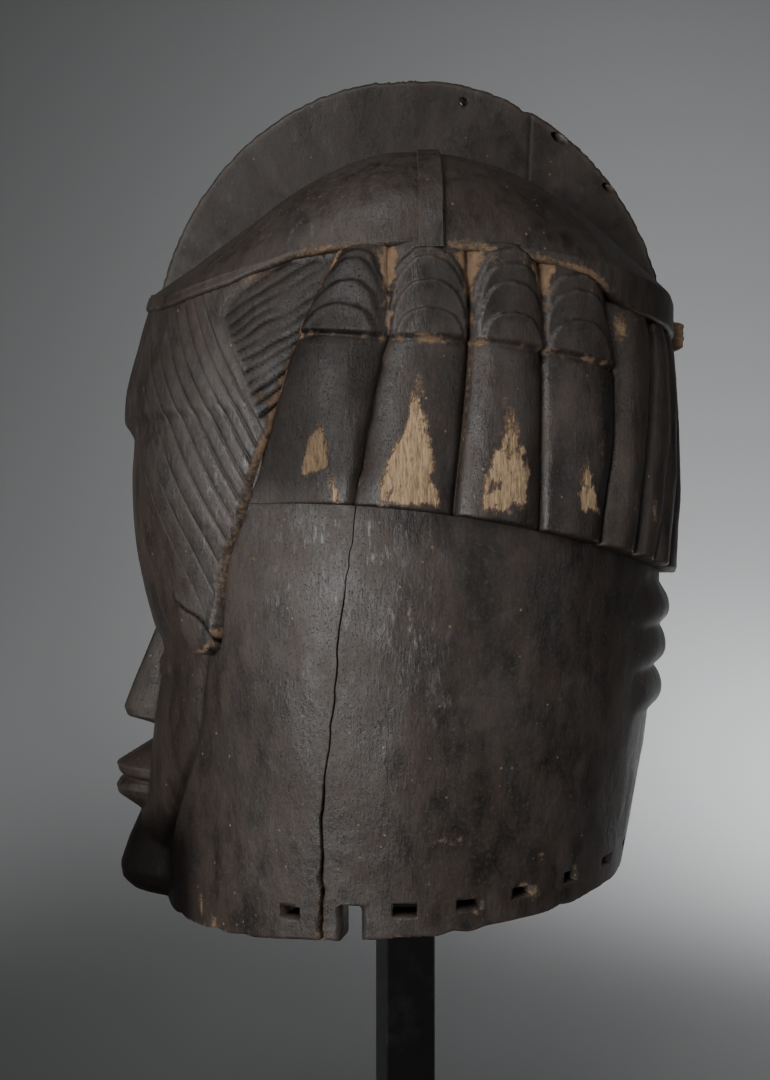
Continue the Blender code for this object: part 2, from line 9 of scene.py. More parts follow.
import logging
import math
from dataclasses import dataclass, field
from enum import Enum

import bmesh
import bpy
import numpy as np
from mathutils import Matrix, Vector


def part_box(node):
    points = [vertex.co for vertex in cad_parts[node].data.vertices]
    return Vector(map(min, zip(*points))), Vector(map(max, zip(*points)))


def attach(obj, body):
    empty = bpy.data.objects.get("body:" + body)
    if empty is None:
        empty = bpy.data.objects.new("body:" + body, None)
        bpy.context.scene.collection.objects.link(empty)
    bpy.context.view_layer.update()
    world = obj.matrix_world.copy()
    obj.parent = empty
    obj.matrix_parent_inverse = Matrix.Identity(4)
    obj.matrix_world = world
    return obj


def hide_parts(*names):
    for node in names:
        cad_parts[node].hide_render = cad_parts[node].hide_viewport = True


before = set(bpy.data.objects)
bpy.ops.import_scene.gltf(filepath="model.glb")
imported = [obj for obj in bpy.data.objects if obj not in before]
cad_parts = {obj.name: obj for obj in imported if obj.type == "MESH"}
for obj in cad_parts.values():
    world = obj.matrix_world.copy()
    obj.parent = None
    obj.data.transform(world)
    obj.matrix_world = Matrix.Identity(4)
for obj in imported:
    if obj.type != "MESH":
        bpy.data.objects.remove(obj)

Array = np.ndarray
Table = tuple[tuple[float, ...], ...]
Colour = tuple[float, float, float]
Point = tuple[float, float, float]
Faces = list[tuple[int, ...]]
Thing = bpy.types.Object
Finish = bpy.types.Material
Socket = bpy.types.NodeSocket
Tree = bpy.types.GeometryNodeTree
LOG = logging.getLogger("helmet mask")

ROOT_BODY = "root"
MASK_NODE = "helmet_mask"
MASK_UNITS = 410.0


class Side(Enum):
    """Side of the head, with the sign of its angles."""

    NEAR = 1
    FAR = -1


class Slot(Enum):
    """Material slots of the record."""

    DARK_WOOD = "dark_wood"
    PEG_WOOD = "peg_wood"
    DARK_FELT = "dark_felt"
    BLACK_PAINT = "black_paint"


class Channel(Enum):
    """Vertex attributes that tell a finish where the surface is worn, dusty or bare, where painted shade
    darkens it in its crack, grooves, creases and elsewhere, and where its scratches carry a painted
    highlight.
    """

    DUST = "dust"
    BARE = "bare"
    WEAR = "wear"
    # painted shade: darkens the colour to near black and dulls the reflection
    DEEP = "deep"
    # pale scratches, partly real and partly a painted highlight
    SCUFF = "scuff"
    BROWN = "brown"


def smooth_step(value: Array) -> Array:
    """Ease from 0 to 1 as a value goes from 0 to 1."""
    value = np.clip(value, 0.0, 1.0)
    return value * value * (3.0 - 2.0 * value)


def rising(value: Array, start: float, run: float) -> Array:
    """Ease from 0 to 1 as a value goes up over a run from its start."""
    return smooth_step((value - start) / run)


def falling(value: Array, start: float, run: float) -> Array:
    """Ease from 0 to 1 as a value goes down over a run from its start."""
    return smooth_step((start - value) / run)


def bell(value: Array) -> Array:
    """Rounded bump: 1 where a value is 0, and down to 0 on both sides."""
    return np.exp(-(value**2))


def smooth_table(table: Table, height: Array) -> Array:
    """Values of a table of sections, run smoothly from one section to the next.

    Args:
        table: Rows that start with their height.
        height: Heights to read the table at.

    Returns:
        One array for each column after the first, stacked.
    """
    rows = np.asarray(table, float)
    height = np.clip(np.asarray(height, float), rows[0, 0], rows[-1, 0])
    place = np.clip(np.searchsorted(rows[:, 0], height), 1, len(rows) - 1)
    low, high = rows[place - 1], rows[place]
    before, after = rows[np.maximum(place - 2, 0)], rows[np.minimum(place + 1, len(rows) - 1)]
    run = high[..., :1] - low[..., :1]
    share = (height[..., None] - low[..., :1]) / run
    start = (high - before) / (high[..., :1] - before[..., :1]) * run
    end = (after - low) / (after[..., :1] - low[..., :1]) * run
    fall = 2 * share**3 - 3 * share**2 + 1
    lift = share**3 - 2 * share**2 + share
    drop = share**3 - share**2
    values = fall * low + lift * start + (1 - fall) * high + drop * end
    return np.moveaxis(values[..., 1:], -1, 0)


def straight_table(table: Table, height: Array) -> list[Array]:
    """Values of a table of sections, run straight from one section to the next."""
    rows = np.asarray(table, float)
    return [np.interp(height, rows[:, 0], rows[:, column]) for column in range(1, rows.shape[1])]


def spans(*parts: tuple[float, float, float]) -> Array:
    """Even steps over several spans, each given by its start, its end and its step."""
    return np.concatenate([np.arange(*part) for part in parts])


def quarter(step: float) -> tuple[float, float]:
    """How far along and how far in an edge's quarter round runs at a step from 0 to 1."""
    turn = math.pi / 2 * step
    return 1 - math.sin(turn), 1 - math.cos(turn)


def eased_share(step: float, steps: int) -> float:
    """Share from 0 to 1 of a step, with close steps at both ends."""
    return 0.5 - 0.5 * math.cos(math.pi * step / steps)


def line_distance(points: Table, across: Array, up: Array) -> tuple[Array, Array]:
    """Distance from places on a surface to a broken line.

    Args:
        points: Corners of the line, across and up.
        across: How far across each place lies.
        up: How high each place lies.

    Returns:
        Distances, and on which side of the line each place lies: 1 to its right, -1 to its left.
    """
    nearest = np.full(np.shape(across), np.inf)
    hand = np.ones(np.shape(across))
    for (x0, y0), (x1, y1) in zip(points, points[1:]):
        dx, dy = x1 - x0, y1 - y0
        share = np.clip(((across - x0) * dx + (up - y0) * dy) / (dx * dx + dy * dy), 0, 1)
        gap = np.hypot(across - x0 - share * dx, up - y0 - share * dy)
        turn = np.sign(dx * (up - y0) - dy * (across - x0))
        hand = np.where(gap < nearest, -turn, hand)
        nearest = np.minimum(nearest, gap)
    return nearest, hand


class Lattice:
    """Cells that lie round the head, for patterns that are the same on every run."""

    rows: int = 256
    first_row: float = 64.0

    def __init__(self, seed: int, columns: int, cell_height: float) -> None:
        """Draws two values for each cell.

        Args:
            seed: Seed of the draw.
            columns: Cells round the head.
            cell_height: Height of a cell, in units.
        """
        self.columns = columns
        self.cell_height = cell_height
        draw = np.random.default_rng(seed)
        self.first = draw.random((self.rows, columns))
        self.second = draw.random((self.rows, columns))

    def cells(self, angle: Array, height: Array) -> tuple[Array, Array, Array, Array]:
        """Place on the lattice, across and up, and the cell's column and row."""
        u = (np.asarray(angle) / 360.0 * self.columns) % self.columns
        v = np.asarray(height) / self.cell_height + self.first_row
        return u, v, np.floor(u).astype(int), np.floor(v).astype(int)


class LatticeNoise(Lattice):
    """Smooth noise that repeats round the head."""

    def __call__(self, angle: Array, height: Array) -> Array:
        """Noise from -1 to 1 at each place."""
        u, v, i, j = self.cells(angle, height)
        s, t = smooth_step(u - i), smooth_step(v - j)
        left, right = i % self.columns, (i + 1) % self.columns
        values = self.first * 2 - 1
        low, high = j % self.rows, (j + 1) % self.rows
        bottom = values[low, left] * (1 - s) + values[low, right] * s
        top = values[high, left] * (1 - s) + values[high, right] * s
        return bottom * (1 - t) + top * t


class ToolMarks(Lattice):
    """Shallow scoops that a carver's blade leaves side by side."""

    rows = 128
    first_row = 32.0

    def __call__(self, angle: Array, height: Array) -> Array:
        """How far from the middle of its scoop each place lies, from 0 to about 1, squared."""
        u, v, i, j = self.cells(angle, height)
        nearest = np.full(np.shape(u), 9.0)
        for row in (-1, 0, 1):
            for column in (-1, 0, 1):
                a, b = (i + column) % self.columns, (j + row) % self.rows
                dx = i + column + self.first[b, a] - u
                dy = j + row + self.second[b, a] - v
                nearest = np.minimum(nearest, dx * dx + dy * dy)
        return np.minimum(nearest, 1.0)


@dataclass(frozen=True)
class Spot:
    """Soft-edged place on the carving, such as where it is worn."""

    angle: float
    height: float
    half_angle: float
    half_height: float
    strength: float = 1.0

    def __call__(self, angle: Array, height: Array) -> Array:
        """How strongly the spot shows at each place."""
        across = (angle - self.angle) / self.half_angle
        up = (height - self.height) / self.half_height
        return self.strength * np.exp(-(across**2 + up**2))


def spots_at(spots: tuple[Spot, ...], angle: Array, height: Array) -> Array:
    """Sum of several spots at each place."""
    total = np.zeros(np.shape(angle))
    for spot in spots:
        total += spot(angle, height)
    return total


@dataclass(frozen=True)
class HeadPlan:
    """Egg-shaped block that the mask is carved from, and how its face and nape stand out of it."""

    unit: float
    rim_level: float
    wall: float = 13.0
    rim_back_rise: float = 19.5
    rim_bend: float = 1.25
    side_radius: float = 112.0
    hair_top: float = 293.0
    crown_top: float = 359.0
    crown_wall: float = 19.0
    dome_profiles: Table = ((0.9, 1.8), (0.9, 2.4), (2.2, 2.2))
    hollow_profiles: Table = ((0.6, 1.8), (1.2, 1.8), (2.2, 2.2))
    band_lip: float = 5.0
    hollow_springing: float = 281.0
    ring_levels: tuple[float, ...] = (142.5, 123.5, 102.5)
    ring_relief: float = 6.0
    ring_upper: float = 13.0
    ring_lower: float = 7.5
    ring_half_angle: float = 34.0
    block: Table = (
        (0, 119, 103.5, 106), (40, 118, 112, 108), (90, 117, 120.5, 110),
        (135, 117, 125, 111), (185, 117, 127, 111), (255, 117, 126, 110.5),
        (293, 120, 126, 112),
    )
    crown_edge: Table = (
        (0, 290), (12, 287), (22, 283), (30, 280.5), (38, 280.5), (47, 282.7),
        (53, 284.5), (59, 287.8), (67, 291.5), (76, 293.5), (95, 294), (106, 292.3),
        (114, 290.8), (121, 288.5), (126, 285.8), (131, 280.5), (137, 276.5), (144, 275),
        (180, 274),
    )
    crown_base: Table = (
        (0, 297), (12, 293.5), (22, 288.5), (32, 285.5), (45, 287), (60, 291.5),
        (75, 296), (110, 296), (128, 293.5), (142, 291.5), (180, 291),
    )
    front: Table = (
        (0, 6, 10), (21, 14, 14), (39, 15.5, 20), (58, 12, 27), (85, 8.5, 35.5),
        (118, 4, 39.5), (127, 5, 40.5), (134.5, 9, 42), (155, 14.5, 46),
        (175, 18, 50), (205, 19.5, 59), (228, 18.5, 64), (234, 20.5, 65),
        (252, 19, 69), (275, 12.5, 73), (293, 6, 76),
    )

    def rim_height(self, angle: Array) -> Array:
        """Height of the rim: lowest under the chin, highest at the nape."""
        share = (0.5 + 0.5 * np.cos(np.radians(angle))) ** self.rim_bend
        return self.rim_back_rise * (1 - share)

    def plan_point(self, angle: Array, sizes: Array, stand_out: Array) -> tuple[Array, Array]:
        """Point of an egg-shaped plan.

        Args:
            angle: Direction of the point.
            sizes: Half depth to the front and to the back, and half width.
            stand_out: How far the point stands out of the plan.

        Returns:
            X and Y of the point, in units.
        """
        turn = np.radians(angle)
        half_depth = np.where(np.cos(turn) > 0, sizes[0], sizes[1])
        x, y = -half_depth * np.cos(turn), -sizes[2] * np.sin(turn)
        grow = 1 + stand_out / np.hypot(x, y)
        return x * grow, y * grow

    def place(self, angle: Array, height: Array, stand_out: Array) -> Array:
        """Points on the block at a height, in metres."""
        angle, height, stand_out = np.broadcast_arrays(angle, height, stand_out)
        x, y = self.plan_point(angle, smooth_table(self.block, height), stand_out)
        return self.metres(x, y, height)

    def metres(self, x: Array, y: Array, height: Array) -> Array:
        """Points in metres from X, Y and height in units."""
        return np.stack([x * self.unit, y * self.unit, self.rim_level + height * self.unit], axis=-1)

    def read(self, points: Array) -> tuple[Array, Array]:
        """Angle and height of points in metres."""
        height = (points[..., 2] - self.rim_level) / self.unit
        front, back, side = smooth_table(self.block, height)
        x, y = points[..., 0] / self.unit, points[..., 1] / self.unit
        half_depth = np.where(x < 0, front, back)
        return np.degrees(np.arctan2(-y / side, -x / half_depth)), height

    def front_relief(self, angle: Array, height: Array) -> Array:
        """How far the face and the forehead stand out of the block."""
        stand_out, half_angle = smooth_table(self.front, height)
        return stand_out * np.maximum(0.0, 1 - (angle / half_angle) ** 2)

    def nape_relief(self, angle: Array, height: Array) -> Array:
        """How far the rings of the nape stand out of the block."""
        across = np.maximum(0.0, 1 - ((180 - np.abs(angle)) / self.ring_half_angle) ** 2)
        relief = np.zeros(np.shape(angle))
        for level in self.ring_levels:
            reach = np.where(height > level, self.ring_upper, self.ring_lower)
            up = np.maximum(0.0, 1 - ((height - level) / reach) ** 2)
            relief = np.maximum(relief, self.ring_relief * across * up)
        return relief

    def edge_height(self, angle: Array) -> Array:
        """Height of the crown's lower edge, which dips over the forehead and over the nape."""
        return smooth_table(self.crown_edge, np.abs((np.asarray(angle) + 180) % 360 - 180))[0]

    def base_height(self, angle: Array) -> Array:
        """Height that the crown's dome springs from."""
        return smooth_table(self.crown_base, np.abs((np.asarray(angle) + 180) % 360 - 180))[0]

    def narrowed(self, sizes: Array, share: float, profiles: Table) -> Array:
        """Half depths and half width that are left of a plan at a share of a dome's height."""
        kept = [(1 - share**rise) ** (1 / run) for rise, run in profiles]
        return np.stack([size * part for size, part in zip(sizes, kept)])

    def dome(self, angle: Array, share: float, inset: float, stand_out: Array) -> Array:
        """Points of the crown's dome, in metres.

        Args:
            angle: Direction of each point.
            share: Share of the dome's height, from 0 to less than 1.
            inset: How far inside the dome the points lie.
            stand_out: How far they stand out of it at its foot.

        Returns:
            The points.
        """
        sizes = smooth_table(self.block, np.full(np.shape(angle), self.hair_top)) - inset
        turn = np.radians(angle)
        front, back, side = self.narrowed(np.ones(3), share, self.dome_profiles)
        lip = np.hypot(np.where(np.cos(turn) > 0, front, back) * np.cos(turn), side * np.sin(turn))
        x, y = self.plan_point(angle, self.narrowed(sizes, share, self.dome_profiles), stand_out * lip)
        base = self.base_height(angle) - inset * 0.3
        return self.metres(x, y, base + (self.crown_top - inset - base) * share)

    def arc(self, degrees: Array) -> Array:
        """Length along the side of the head of an angle, in units."""
        return degrees * math.radians(self.side_radius)


def grid_faces(rows: int, columns: int, first: int = 0, closed: bool = False) -> Faces:
    """Faces of a grid of points that are stored row by row.

    Args:
        rows: Rows of points.
        columns: Points in a row.
        first: Number of the first point.
        closed: Whether each row runs round into itself.

    Returns:
        Four-sided faces.
    """
    last = columns if closed else columns - 1
    r, c = np.meshgrid(np.arange(rows - 1), np.arange(last), indexing="ij")
    n = (c + 1) % columns
    quads = np.stack([r * columns + c, r * columns + n, (r + 1) * columns + n, (r + 1) * columns + c], -1)
    return [tuple(quad) for quad in (quads.reshape(-1, 4) + first).tolist()]


def stitch(one: list[int], other: list[int]) -> Faces:
    """Triangles between two rows of points that have different numbers of points."""
    faces: Faces = []
    i = j = 0
    while i < len(one) - 1 or j < len(other) - 1:
        ahead = (i + 1) / (len(one) - 1) if i < len(one) - 1 else math.inf
        beside = (j + 1) / (len(other) - 1) if j < len(other) - 1 else math.inf
        if ahead <= beside:
            faces.append((one[i], one[i + 1], other[j]))
            i += 1
        else:
            faces.append((one[i], other[j + 1], other[j]))
            j += 1
    return faces


def sheet_shell(outer: Array, inner: Array) -> tuple[Array, Faces]:
    """Closed shell from a fine outer sheet and an inner one with as many rows but fewer columns.

    Args:
        outer: Points of the outer sheet, by row and column.
        inner: Points of the inner sheet, by row and column.

    Returns:
        Points and faces of the shell.
    """
    rows, fine = outer.shape[:2]
    coarse = inner.shape[1]
    base = rows * fine
    faces = grid_faces(rows, fine) + grid_faces(rows, coarse, base)
    for r in range(rows - 1):
        near = (r * fine, (r + 1) * fine, base + (r + 1) * coarse, base + r * coarse)
        far = (near[0] + fine - 1, near[1] + fine - 1, near[2] + coarse - 1, near[3] + coarse - 1)
        faces += [near, far]
    for r in (0, rows - 1):
        faces += stitch(
            [r * fine + c for c in range(fine)], [base + r * coarse + c for c in range(coarse)]
        )
    return np.concatenate([outer.reshape(-1, 3), inner.reshape(-1, 3)]), faces


def fan(first: int, count: int, middle: int) -> Faces:
    """Triangles between a closed ring of points and a point in its middle."""
    return [(first + i, first + (i + 1) % count, middle) for i in range(count)]


def added(name: str, data: bpy.types.ID) -> Thing:
    """New object in the scene."""
    thing = bpy.data.objects.new(name, data)
    bpy.context.scene.collection.objects.link(thing)
    return thing


def mesh_piece(name: str, points: Array, faces: Faces) -> Thing:
    """Object made of one closed, smooth mesh whose faces look outwards.

    Args:
        name: Name of the piece.
        points: Its points, in metres.
        faces: Its faces.

    Returns:
        The object, linked to the scene.
    """
    mesh = bpy.data.meshes.new(name)
    mesh.from_pydata(points.tolist(), [], faces)
    shape = bmesh.new()
    shape.from_mesh(mesh)
    bmesh.ops.remove_doubles(shape, verts=shape.verts, dist=0.000001)
    bmesh.ops.recalc_face_normals(shape, faces=shape.faces)
    for face in shape.faces:
        face.smooth = True
    shape.to_mesh(mesh)
    shape.free()
    return added(name, mesh)


def mesh_points(piece: Thing) -> Array:
    """Points of a piece's mesh, in metres."""
    flat = np.empty(len(piece.data.vertices) * 3, np.float32)
    piece.data.vertices.foreach_get("co", flat)
    return flat.reshape(-1, 3).astype(float)


def mark(piece: Thing, **marks: Array | float) -> None:
    """Stores how strongly each channel shows at each point of a piece, 0 for a channel that isn't named."""
    for channel in Channel:
        values = np.zeros(len(piece.data.vertices)) + marks.get(channel.value, 0.0)
        attribute = piece.data.attributes.new(channel.value, "FLOAT", "POINT")
        attribute.data.foreach_set("value", np.clip(values, 0.0, 1.0).astype(np.float32))


def baked(piece: Thing) -> Thing:
    """Makes the result of a piece's modifiers its own mesh, and takes them off."""
    graph = bpy.context.evaluated_depsgraph_get()
    mesh = bpy.data.meshes.new_from_object(piece.evaluated_get(graph))
    piece.modifiers.clear()
    piece.data = mesh
    return piece


def grow(thing: Thing, tree: Tree, **numbers: float) -> None:
    """Adds geometry nodes to an object, with their inputs set by identifier."""
    modifier = thing.modifiers.new("nodes", "NODES")
    modifier.node_group = tree
    names = {item.name: item.identifier for item in tree.interface.items_tree}
    for name, value in numbers.items():
        modifier[names[name]] = value


def cut_out(piece: Thing, cutter: Thing) -> None:
    """Cuts a closed form out of a piece, and removes the form."""
    cut = piece.modifiers.new("holes", "BOOLEAN")
    cut.operation = "DIFFERENCE"
    cut.object = cutter
    cut.solver = "MANIFOLD"
    baked(piece)
    bpy.data.objects.remove(cutter)
    piece.data.shade_smooth()


def hide_edges(piece: Thing, angle: float) -> None:
    """Shades a piece smooth except across its sharp edges."""
    piece.data.shade_smooth()
    shape = bmesh.new()
    shape.from_mesh(piece.data)
    for edge in shape.edges:
        if len(edge.link_faces) == 2 and edge.calc_face_angle() > math.radians(angle):
            edge.smooth = False
    shape.to_mesh(piece.data)
    shape.free()


def put(piece: Thing, slot: Slot, finish: Finish, *nodes: str) -> None:
    """Dresses a piece, puts it on its body and hides the nodes that it stands for.

    Args:
        piece: The finished piece.
        slot: Material slot of the record; not used.
        finish: Its material.
        *nodes: Nodes that it stands for.
    """
    piece.data.materials.clear()
    piece.data.materials.append(finish)
    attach(piece, ROOT_BODY)
    if nodes:
        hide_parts(*nodes)
    triangles = sum(len(face.vertices) - 2 for face in piece.data.polygons)
    LOG.info("%s: %d triangles", piece.name, triangles)


class Graph:
    """Short way to build geometry nodes that make one geometry from another."""

    def __init__(self, name: str, *numbers: str) -> None:
        """Starts a tree with its sockets.

        Args:
            name: Name of the tree.
            *numbers: Names of the numbers that it takes besides its geometry.
        """
        self.tree = bpy.data.node_groups.new(name, "GeometryNodeTree")
        sockets = self.tree.interface
        sockets.new_socket("Geometry", in_out="INPUT", socket_type="NodeSocketGeometry")
        for number in numbers:
            sockets.new_socket(number, in_out="INPUT", socket_type="NodeSocketFloat")
        sockets.new_socket("Geometry", in_out="OUTPUT", socket_type="NodeSocketGeometry")
        self.inputs = self.tree.nodes.new("NodeGroupInput").outputs
        self.output = self.tree.nodes.new("NodeGroupOutput").inputs["Geometry"]

    def node(self, kind: str, inputs: dict[str, object], **options: str) -> bpy.types.NodeOutputs:
        """Adds a node.

        Args:
            kind: Its type, without the GeometryNode that each starts with.
            inputs: Links and values of its inputs, by name.
            **options: Its settings.

        Returns:
            Its outputs.
        """
        node = self.tree.nodes.new(f"GeometryNode{kind}")
        for name, value in options.items():
            setattr(node, name, value)
        for name, value in inputs.items():
            if isinstance(value, Socket):
                self.tree.links.new(value, node.inputs[name])
            else:
                node.inputs[name].default_value = value
        return node.outputs

    def ended(self, geometry: Socket, finish: Finish | None = None) -> Tree:
        """The tree, ended by making its result real and giving it its material."""
        real = self.node("RealizeInstances", {"Geometry": geometry})["Geometry"]
        coat = {"Geometry": real} if finish is None else {"Geometry": real, "Material": finish}
        self.tree.links.new(self.node("SetMaterial", coat)["Geometry"], self.output)
        return self.tree


class Shader:
    """Short way to build a material's nodes."""

    def __init__(self, name: str) -> None:
        """Starts an empty material with its output.

        Args:
            name: Name of the material.
        """
        self.material = bpy.data.materials.new(name)
        self.material.use_nodes = True
        self.tree = self.material.node_tree
        self.tree.nodes.clear()
        self.output = self.tree.nodes.new("ShaderNodeOutputMaterial")
        self.surface = self.tree.nodes.new("ShaderNodeBsdfPrincipled")
        self.tree.links.new(self.surface.outputs[0], self.output.inputs["Surface"])
        self.coordinates = self.tree.nodes.new("ShaderNodeTexCoord").outputs["Object"]

    def feed(self, socket: Socket, value: object) -> None:
        """Links a socket to another, or sets its value."""
        if isinstance(value, Socket):
            self.tree.links.new(value, socket)
        elif isinstance(value, tuple) and socket.type == "RGBA":
            socket.default_value = (*value[:3], 1.0)
        else:
            socket.default_value = value

    def set(self, **values: object) -> None:
        """Sets inputs of the surface, named with _ for each space."""
        for name, value in values.items():
            self.feed(self.surface.inputs[name.replace("_", " ")], value)

    def stretched(self, scale: tuple[float, float, float], turn: float = 0.0) -> Socket:
        """Coordinates that are stretched along an axis, and turned about Z."""
        node = self.tree.nodes.new("ShaderNodeMapping")
        self.feed(node.inputs["Vector"], self.coordinates)
        node.inputs["Scale"].default_value = scale
        node.inputs["Rotation"].default_value = (0.0, 0.0, turn)
        return node.outputs["Vector"]

    def noise(
        self, scale: float, detail: float = 3.0, rough: float = 0.5,
        where: Socket | None = None, warp: float = 0.0,
    ) -> Socket:
        """Noise pattern.

        Args:
            scale: How fine it is, in cells a metre.
            detail: How many finer layers it has.
            rough: How strong the finer layers are.
            where: Its coordinates.
            warp: How much it is warped by itself.

        Returns:
            The pattern's strength.
        """
        node = self.tree.nodes.new("ShaderNodeTexNoise")
        self.feed(node.inputs["Vector"], self.coordinates if where is None else where)
        node.inputs["Scale"].default_value = scale
        node.inputs["Detail"].default_value = detail
        node.inputs["Roughness"].default_value = rough
        node.inputs["Distortion"].default_value = warp
        return node.outputs["Fac"]

    def cells(self, scale: float, where: Socket | None = None) -> Socket:
        """Distance from the nearest of many scattered spots."""
        node = self.tree.nodes.new("ShaderNodeTexVoronoi")
        self.feed(node.inputs["Vector"], self.coordinates if where is None else where)
        node.inputs["Scale"].default_value = scale
        return node.outputs["Distance"]

    def channel(self, channel: Channel) -> Socket:
        """Strength of one of the piece's attributes."""
        node = self.tree.nodes.new("ShaderNodeAttribute")
        node.attribute_name = channel.value
        return node.outputs["Fac"]

    def ramp(self, value: Socket, low: float, high: float) -> Socket:
        """Eases from 0 to 1 as a value goes from low to high."""
        node = self.tree.nodes.new("ShaderNodeMapRange")
        node.interpolation_type = "SMOOTHSTEP"
        self.feed(node.inputs["Value"], value)
        node.inputs["From Min"].default_value = low
        node.inputs["From Max"].default_value = high
        return node.outputs["Result"]

    def math(self, operation: str, one: object, other: object) -> Socket:
        """Result of a sum on two values."""
        node = self.tree.nodes.new("ShaderNodeMath")
        node.operation = operation
        self.feed(node.inputs[0], one)
        self.feed(node.inputs[1], other)
        return node.outputs[0]

    def times(self, one: object, other: object) -> Socket:
        """Product of two values."""
        return self.math("MULTIPLY", one, other)

    def plus(self, one: object, other: object) -> Socket:
        """Sum of two values."""
        return self.math("ADD", one, other)

    def less(self, one: object, other: object) -> Socket:
        """One value less another."""
        return self.math("SUBTRACT", one, other)

    def between(self, kind: str, inputs: tuple[int, ...], output: int, *values: object) -> Socket:
        """Value or colour between two others, by a mix node of a kind and the numbers of its sockets."""
        node = self.tree.nodes.new("ShaderNodeMix")
        node.data_type = kind
        for number, value in zip(inputs, values):
            self.feed(node.inputs[number], value)
        return node.outputs[output]

    def mix(self, share: object, one: object, other: object) -> Socket:
        """Colour between two others."""
        return self.between("RGBA", (0, 6, 7), 2, share, one, other)

    def blend(self, share: object, one: object, other: object) -> Socket:
        """Value between two others."""
        return self.between("FLOAT", (0, 2, 3), 0, share, one, other)

    def bump(self, height: object, depth: float, under: Socket | None = None) -> Socket:
        """Fine relief of the surface.

        Args:
            height: Pattern of the relief.
            depth: Its depth, in metres.
            under: Relief that this one lies on.

        Returns:
            The surface's normal.
        """
        node = self.tree.nodes.new("ShaderNodeBump")
        node.inputs["Strength"].default_value = 1.0
        node.inputs["Distance"].default_value = depth
        self.feed(node.inputs["Height"], height)
        if under is not None:
            self.feed(node.inputs["Normal"], under)
        return node.outputs["Normal"]


